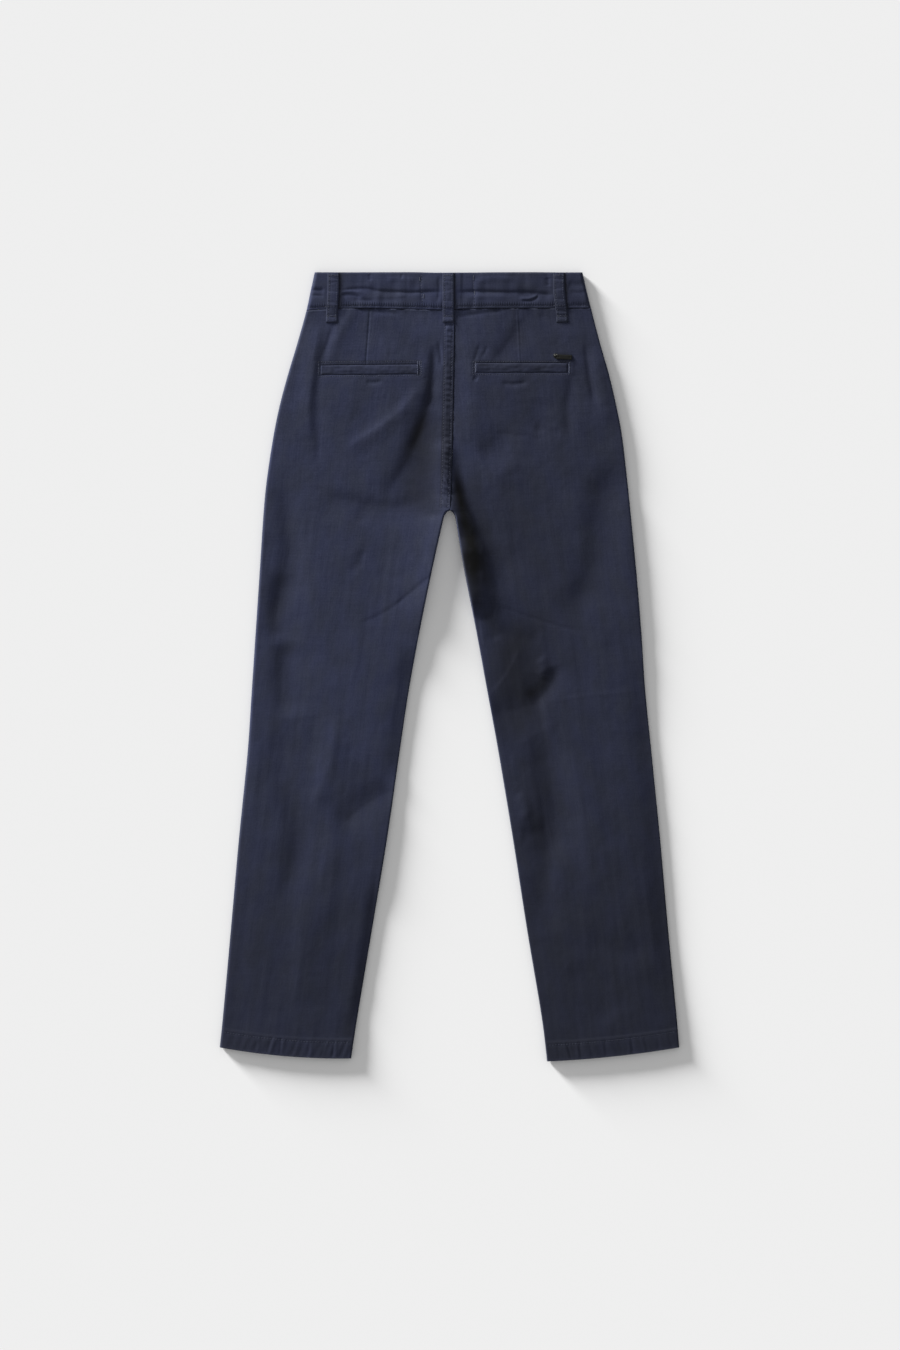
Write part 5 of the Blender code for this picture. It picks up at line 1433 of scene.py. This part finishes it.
def gunmetal_material():
    """Satin gunmetal, brushed along its length, with soft patches."""
    n = Nodes("gunmetal")
    place = n.node("ShaderNodeTexCoord").outputs["Object"]
    brush = n.noise(n.scaled(place, (180, 5200, 5200)), 1.0, 3.0)
    patch = n.noise(place, 260.0, 3.0)
    colour = n.mixed(brush, (0.010, 0.0105, 0.0092, 1), (0.027, 0.0275, 0.024, 1))
    colour = n.mixed(n.mapped(patch, 0.35, 0.75, 0.0, 0.7), colour, (0.022, 0.021, 0.020, 1))
    return n.finish({"Base Color": colour, "Metallic": 0.85, "Normal": n.bump(brush, 0.00002, 0.5),
                     "Roughness": n.mapped(brush, 0.2, 0.8, 0.30, 0.48)})


def horn_material():
    """Dark polished horn look, with soft brown streaks."""
    n = Nodes("dark_horn")
    place = n.node("ShaderNodeTexCoord").outputs["Object"]
    streak = n.noise(n.scaled(place, (60, 420, 420), 0.6), 1.0, 4.0, 0.6)
    share = n.mapped(streak, 0.35, 0.7, 0.0, 1.0)
    return n.finish({"Base Color": n.mixed(share, (0.012, 0.011, 0.014, 1), (0.060, 0.046, 0.036, 1)),
                     "Roughness": n.mapped(n.noise(place, 900.0), 0.3, 0.7, 0.26, 0.42),
                     "Normal": n.bump(streak, 0.00004, 0.3)})


# ---------------------------------------------------------------- stage, light, camera

PICTURE_HEIGHT = 1350      # pixels
MM_PER_PIXEL = 1.10
CENTRE_X, CENTRE_Y = 0.55, -8.8    # what the camera looks straight down at
LENS = 100.0
SENSOR = 36.0

KEY_ELEVATION = 8.0        # degrees above the floor
KEY_AZIMUTH = 45.0         # degrees from -X towards +Y
KEY_SPREAD = 13.0          # degrees, how large the soft light looks
KEY_STRENGTH = 13.0
WORLD_STRENGTH = 0.50

FLOOR_HALF = 12.0          # metres
FLOOR_Z = -0.0003


def camera():
    """Straight above the garment, with the picture's frame."""
    data = bpy.data.cameras.new("camera")
    data.lens = LENS
    data.sensor_width = SENSOR
    data.sensor_fit = "AUTO"
    made = added("camera", data)
    distance = PICTURE_HEIGHT * MM_PER_PIXEL * LENS / SENSOR
    made.location = Vector((CENTRE_X, CENTRE_Y, distance)) * MM
    bpy.context.scene.camera = made


def lights():
    """One low soft sun from the upper left, and an even pale sky."""
    azimuth, elevation = math.radians(KEY_AZIMUTH), math.radians(KEY_ELEVATION)
    towards = Vector((-math.cos(azimuth) * math.cos(elevation), math.sin(azimuth) * math.cos(elevation),
                      math.sin(elevation)))
    data = bpy.data.lights.new("key", "SUN")
    data.energy = KEY_STRENGTH
    data.angle = math.radians(KEY_SPREAD)
    key = added("key", data)
    key.rotation_mode = "QUATERNION"
    key.rotation_quaternion = towards.to_track_quat("Z", "Y")
    world = bpy.data.worlds.new("studio")
    world.use_nodes = True
    background = world.node_tree.nodes["Background"]
    background.inputs["Color"].default_value = (1.0, 1.0, 1.0, 1.0)
    background.inputs["Strength"].default_value = WORLD_STRENGTH
    bpy.context.scene.world = world
    bpy.context.scene.view_settings.view_transform = "Standard"


def floor():
    n = Nodes("pale_floor")
    place = n.node("ShaderNodeTexCoord").outputs["Object"]
    colour = n.mixed(n.noise(place, 400.0), (0.795, 0.795, 0.795, 1), (0.805, 0.805, 0.805, 1))
    mesh = bpy.data.meshes.new("floor")
    corners = [(x * FLOOR_HALF, y * FLOOR_HALF, FLOOR_Z) for x, y in ((-1, -1), (1, -1), (1, 1), (-1, 1))]
    mesh.from_pydata(corners, [], [(0, 1, 2, 3)])
    mesh.materials.append(n.finish({"Base Color": colour, "Roughness": 0.9, "Specular IOR Level": 0.0}))
    added("floor", mesh)


# ---------------------------------------------------------------- sewing of the garment


def hem_line(side, margin):
    """The hem's stitching, from margin inside the inseam to margin inside the side seam."""
    inner = float(along(INSEAMS, side, HEM_LINE_INNER_Y)) + margin
    outer = abs(float(side_x(side, HEM_LINE_OUTER_Y))) - margin
    return [(side * x, float(hem_y(side, side * x)) + HEM_LINE) for x in np.linspace(inner, outer, 40)]


def pocket_point(side, u, v):
    """The point u along the pocket's frame from its middle, and v across it."""
    pocket = POCKETS[side]
    return pocket.x + u, pocket.y + pocket.frame_rise + u * pocket_tilt(side) + v


def pocket_tacks(side):
    """Dense tacks at both ends of a pocket. The left pocket's inner one is wide and covers the whole end."""
    pocket = POCKETS[side]
    lines = []
    for end in (-1, 1):
        x, y = pocket_point(side, end * (pocket.length / 2 - 0.4), 0.0)
        length, width = 12.0, 1.5
        if end == -side:
            x -= INNER_TACK_INSET * end
            if side < 0:
                length, width = 2.0 * pocket.frame_half - 1.0, 5.0
        lines += bar_tack(x, y, 0, 1, length, width, 15)
    return lines


def back_sewing(thread, tack_thread):
    """Thread on the back: waistband, seat seam, pockets, loops, hems and tacks."""
    line = [(x, WAIST_SEAM_Y + float(seam_rise(x)) + 2.6) for x in np.linspace(-153, 151, 160)]
    shells = ["cloth_waistband_back"] + ["cloth_" + loop.name for loop in BACK_LOOPS]
    sewn("thread_waistband", [line], shells, thread)
    ys = np.linspace(389.0, CROTCH_Y + 3.0, 60)
    seat = [[(float(seat_seam_x(y)) - off * float(smooth((y - CROTCH_Y + 9) / 14)), y) for y in ys]
            for off in SEAT_LINES]
    sewn("thread_seat", seat, ["cloth_back_left"], thread, pitch=2.9, length=2.3)
    for side, word in SIDE_WORDS.items():
        half, out = POCKETS[side].length / 2 + 0.3, POCKETS[side].frame_half
        corners = [pocket_point(side, u, v)
                   for u, v in ((-half, -out), (half, -out), (half, out), (-half, out), (-half, -out))]
        sewn("thread_pocket_" + word, [list(ends) for ends in zip(corners[:-1], corners[1:])],
             ["cloth_back_" + word], thread, pitch=2.5, length=2.0)
        sewn("thread_hem_" + word, [hem_line(side, 3.0)], ["cloth_back_" + word], thread)
    shells = BACK_SHELLS + ["cloth_welt_left", "cloth_welt_right"]
    tacks = pocket_tacks(-1) + pocket_tacks(1)
    sewn("thread_pocket_tacks", tacks, shells, tack_thread, pitch=2.0, length=1.8, radius=0.2)
    for loop in BACK_LOOPS:
        shell = ["cloth_" + loop.name]
        ys = np.linspace(LOOP_BOTTOM_Y + 1.5, WAIST_TOP_Y - 2.0, 24)
        edges = [[(loop_middle(loop, y)[0] + off * LOOP_WIDTH / 2, y) for y in ys]
                 for off in (-LOOP_LINE, LOOP_LINE)]
        sewn("thread_" + loop.name, edges, shell, thread, pitch=2.6, length=2.1)
        ends = bar_tack(loop.bottom_x, LOOP_BOTTOM_Y + LOOP_TACK, 1, 0, 11.0, 1.5, 16)
        ends += bar_tack(loop.top_x, WAIST_TOP_Y - 3.2, 1, 0, 11.0, 1.5, 16)
        sewn("thread_tack_" + loop.name, ends, shell, thread, pitch=1.8, length=1.5, radius=0.14)
    dots = []
    for tack in BAND_TACKS:
        dots += bar_tack(tack.x, (tack.low_y + tack.high_y) / 2, 0, 1, tack.high_y - tack.low_y, 1.5, 7)
    sewn("thread_band_tacks", dots, ["cloth_waistband_back"], thread, pitch=1.8, length=1.5, radius=0.22)
    sewn("thread_band_lines", BAND_LINES, ["cloth_waistband_back"], thread, pitch=3.4, length=2.1)


def front_sewing(thread):
    """Thread on the underside: waistband, fly, slant pockets, loops and hems."""
    band = []
    for side, start in ((-1, BAND_END_X - 2), (1, BAND_END_X + 3)):
        for y, end in ((WAIST_SEAM_Y + 3.0, 152.0), (WAIST_TOP_Y - 3.0, 146.0)):
            band.append([(x, y) for x in np.linspace(*sorted((start, side * end)), 30)])
    shells = ["cloth_" + part + "_front_" + word
              for part in ("waistband", "loop") for word in SIDE_WORDS.values()]
    sewn("thread_band_front", band, shells, thread, up=False)
    left, corner = FRONT_EDGE_X - FLY_WIDTH + 3.0, FLY_CORNER - 2
    fly_line = [(left, WAIST_SEAM_Y - 3.0)]
    for angle in np.radians(np.linspace(0, 90, 13)):
        x = left + corner * (1 - math.cos(angle))
        fly_line.append((x, FLY_BOTTOM_Y + 3.0 + corner * (1 - math.sin(angle))))
    fly_line.append((FRONT_EDGE_X - 1.0, FLY_BOTTOM_Y + 2.6))
    edge_line = [(FRONT_EDGE_X - 2.2, WAIST_SEAM_Y - 3.0), (FRONT_EDGE_X - 2.2, FLY_BOTTOM_Y + 4.0)]
    sewn("thread_fly", [fly_line, edge_line], ["cloth_fly"], thread, up=False)
    for side, word in SIDE_WORDS.items():
        ys = np.linspace(WAIST_SEAM_Y - 2.0, SLANT_BOTTOM_Y + 2.0, 30)
        lines = [[(float(slant_x(side, y)) - side * inset, y) for y in ys] for inset in (1.6, 7.0)]
        lines.append(hem_line(side, 3.5))
        for y in (WAIST_SEAM_Y - 9.0, SLANT_BOTTOM_Y + 7.0):
            lines += bar_tack(float(slant_x(side, y)) - side * 3.6, y, 1, 0, 6.0, 2.0, 9)
        sewn("thread_front_" + word, lines, ["cloth_front_" + word], thread, up=False)
    loops = []
    for loop in FRONT_LOOPS:
        for off in (-FRONT_LOOP_LINE, FRONT_LOOP_LINE):
            x = loop.top_x + off * LOOP_WIDTH / 2
            loops.append([(x, LOOP_BOTTOM_Y + 1.5), (x, WAIST_TOP_Y - 2.5)])
        loops += bar_tack(loop.top_x, LOOP_BOTTOM_Y + 2.4, 1, 0, 11.0, 2.0, 16)
    shells = ["cloth_" + loop.name for loop in FRONT_LOOPS]
    sewn("thread_loops_front", loops, shells, thread, up=False, pitch=2.6, length=2.0)


# ---------------------------------------------------------------- hard pieces


def tag(finish):
    """The bare metal bar, softly crowned, with rounded corners."""
    low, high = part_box("tag_bar")
    centre = (low + high) / 2
    made = bmesh.new()
    bmesh.ops.create_cube(made, size=1.0)
    bmesh.ops.subdivide_edges(made, edges=made.edges[:], cuts=22, use_grid_fill=True)
    for v in made.verts:
        x, y, share = v.co.x * TAG_LENGTH, v.co.y * TAG_WIDTH, v.co.z + 0.5
        crown = TAG_THICKNESS * float(curl(TAG_WIDTH / 2 - abs(y), 1.5) * curl(TAG_LENGTH / 2 - abs(x), 0.9))
        crown -= 0.4 * math.exp(-((abs(x) - TAG_LENGTH / 2 + 2.3) / 1.0) ** 2 - (y / 1.1) ** 2)
        v.co = Vector((x, y, share * max(crown, 0.1))) * MM
    mesh = mesh_from("tag_plate", made)
    tilt = Matrix.Rotation(math.radians(TAG_TILT), 4, "Z")
    base = max(surface_z(["cloth_back_right"], centre.x / MM + dx, centre.y / MM + dy)
               for dx in (-8, -4, 0, 4, 8) for dy in (-2.6, 0, 2.6))
    place = Vector((centre.x, centre.y, (base + HARD_LIFT) * MM))
    mesh.transform(Matrix.Translation(place) @ tilt)
    piece = show("tag_plate", mesh, finish)
    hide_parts("tag_bar")


def turned(name, profile, radius, height, sides, place, finish, slot):
    """A profile in shares of the radius and height, from the top of its axis round to the bottom of it."""
    turns = [2 * math.pi * i / sides for i in range(sides)]
    points = [(0.0, 0.0, profile[0][1] * height), (0.0, 0.0, profile[-1][1] * height)]
    for out, up in profile[1:-1]:
        wide, level = out * radius, up * height
        points += [(wide * math.cos(turn), wide * math.sin(turn), level) for turn in turns]
    last = len(points) - sides
    faces = []
    for i in range(sides):
        j = (i + 1) % sides
        faces += [(0, 2 + i, 2 + j), (1, last + j, last + i)]
        faces += [(ring + i, ring + sides + i, ring + sides + j, ring + j) for ring in range(2, last, sides)]
    mesh = bpy.data.meshes.new(name)
    mesh.from_pydata(np.array(points) * MM, [], faces)
    mesh.transform(Matrix.Translation(Vector(place)))
    return show(name, mesh, finish)


def stud(finish):
    low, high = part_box("tag_stud")
    x, y = (low.x + high.x) / 2 + 1.2 * MM, (low.y + high.y) / 2 - 0.7 * MM
    base = highest_under(["cloth_back_right"], x / MM, y / MM, 1.4)
    dome = [(0.0, 1.0), (0.16, 0.97), (0.30, 0.86), (0.40, 0.66), (0.43, 0.34)]
    collar = [(0.62, 0.30), (0.86, 0.26), (0.97, 0.16), (1.0, 0.0), (0.0, 0.0)]
    place = (x, y, (base + HARD_LIFT) * MM)
    piece = turned("tag_stud_dome", dome + collar, STUD_RADIUS, STUD_HEIGHT, 28, place, finish, "tag_metal")
    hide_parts("tag_stud")


def button(finish, thread):
    """Four-hole button with a raised rim, its face on the surface below, sewn with crossed thread."""
    low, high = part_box("button")
    centre = (low + high) / 2
    bottom = [(0.0, 0.36), (0.56, 0.36), (0.66, 0.25), (0.72, 0.06), (0.80, 0.0), (0.90, 0.04), (0.98, 0.22),
              (1.0, 0.45), (0.97, 0.72), (0.88, 0.94), (0.76, 1.0), (0.0, 1.0)]
    piece = turned("waist_button", bottom[::-1], BUTTON_RADIUS, BUTTON_THICKNESS, 64,
                   (centre.x, centre.y, 0.0), finish, "button")
    holes = bmesh.new()
    for dx in (-HOLE_INSET, HOLE_INSET):
        for dy in (-HOLE_INSET, HOLE_INSET):
            made = bmesh.ops.create_cone(holes, cap_ends=True, segments=16, radius1=HOLE_RADIUS * MM,
                                         radius2=HOLE_RADIUS * MM, depth=HOLE_DEPTH * MM)
            move = Vector((centre.x + dx * MM, centre.y + dy * MM, BUTTON_THICKNESS / 2 * MM))
            bmesh.ops.translate(holes, verts=made["verts"], vec=move)
    cutter = added("holes", mesh_from("holes", holes))
    cut = piece.modifiers.new("holes", "BOOLEAN")
    cut.object = cutter
    cut.solver = "EXACT"
    bpy.context.view_layer.update()
    whole = bpy.data.meshes.new_from_object(piece.evaluated_get(bpy.context.evaluated_depsgraph_get()))
    piece.modifiers.clear()
    piece.data = whole
    whole.set_sharp_from_angle(angle=math.radians(40))
    bpy.data.objects.remove(cutter)
    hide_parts("button")
    stitches = []
    cx, cy = centre.x / MM, centre.y / MM
    for off in (-0.35, 0.0, 0.35):
        for way in (-1, 1):
            ends = [Vector((cx + end * HOLE_INSET + off, cy + (end * HOLE_INSET - off) * way, 0.66))
                    for end in (-1, 1)]
            stitches.append((*ends, 0.22, False))
    thread_piece("thread_button", stitches, thread)


# ---------------------------------------------------------------- the sheets' cuts

SMALLEST_CUT = 11.0        # a welt's strip, with the little that turns in along its edges
Laid = namedtuple("Laid", "cloth rests_on threads")
LAID = [Laid(*row) for row in [
    ("front_left", ["floor"], ["front_left"]),
    ("front_right", ["floor"], ["front_right"]),
    ("facing_left", ["floor"], []),
    ("facing_right", ["floor"], []),
    ("fly", ["floor"], ["fly"]),
    ("waistband_front_left", ["floor"], ["band_front"]),
    ("waistband_front_right", ["floor"], []),
    ("loop_front_left", ["floor"], ["loops_front"]),
    ("loop_front_right", ["floor"], []),
    ("back_left", ["cloth_front_left"], ["seat", "pocket_left", "hem_left"]),
    ("back_right", ["cloth_front_right"], ["pocket_right", "hem_right"]),
    ("waistband_back", ["cloth_waistband_front_left", "cloth_waistband_front_right"],
     ["waistband", "band_tacks", "band_lines"]),
    ("welt_left", ["cloth_back_left"], ["pocket_tacks"]),
    ("welt_right", ["cloth_back_right"], []),
]] + [Laid(loop.name, ["cloth_waistband_back"], [loop.name, "tack_" + loop.name]) for loop in BACK_LOOPS]


def declare_sheets():
    for laid in LAID:
        name = "cloth_" + laid.cloth
        width, length, area = cuts[name]
        width = max(width, SMALLEST_CUT)
        length = max(length, SMALLEST_CUT)


# ---------------------------------------------------------------- the garment

camera()
lights()
floor()

twill = twill_material()
thread = thread_material("navy_thread", (0.014, 0.017, 0.033, 1), (0.033, 0.039, 0.066, 1))
tack_thread = thread_material("navy_tack_thread", (0.026, 0.032, 0.060, 1), (0.085, 0.098, 0.150, 1))
gunmetal = gunmetal_material()
horn = horn_material()

for side in SIDE_WORDS:
    back_panel(side, twill)
    front_panel(side, twill)
    pocket_facing(side, twill)
    waistband_front(side, twill)
waistband_back(twill)
fly(twill)
for loop in BACK_LOOPS:
    back_loop(loop, twill)
for loop in FRONT_LOOPS:
    front_loop(loop, twill)
for side in SIDE_WORDS:
    welt(side, twill)
tag(gunmetal)
stud(gunmetal)
button(horn, thread)
back_sewing(thread, tack_thread)
front_sewing(thread)

declare_sheets()
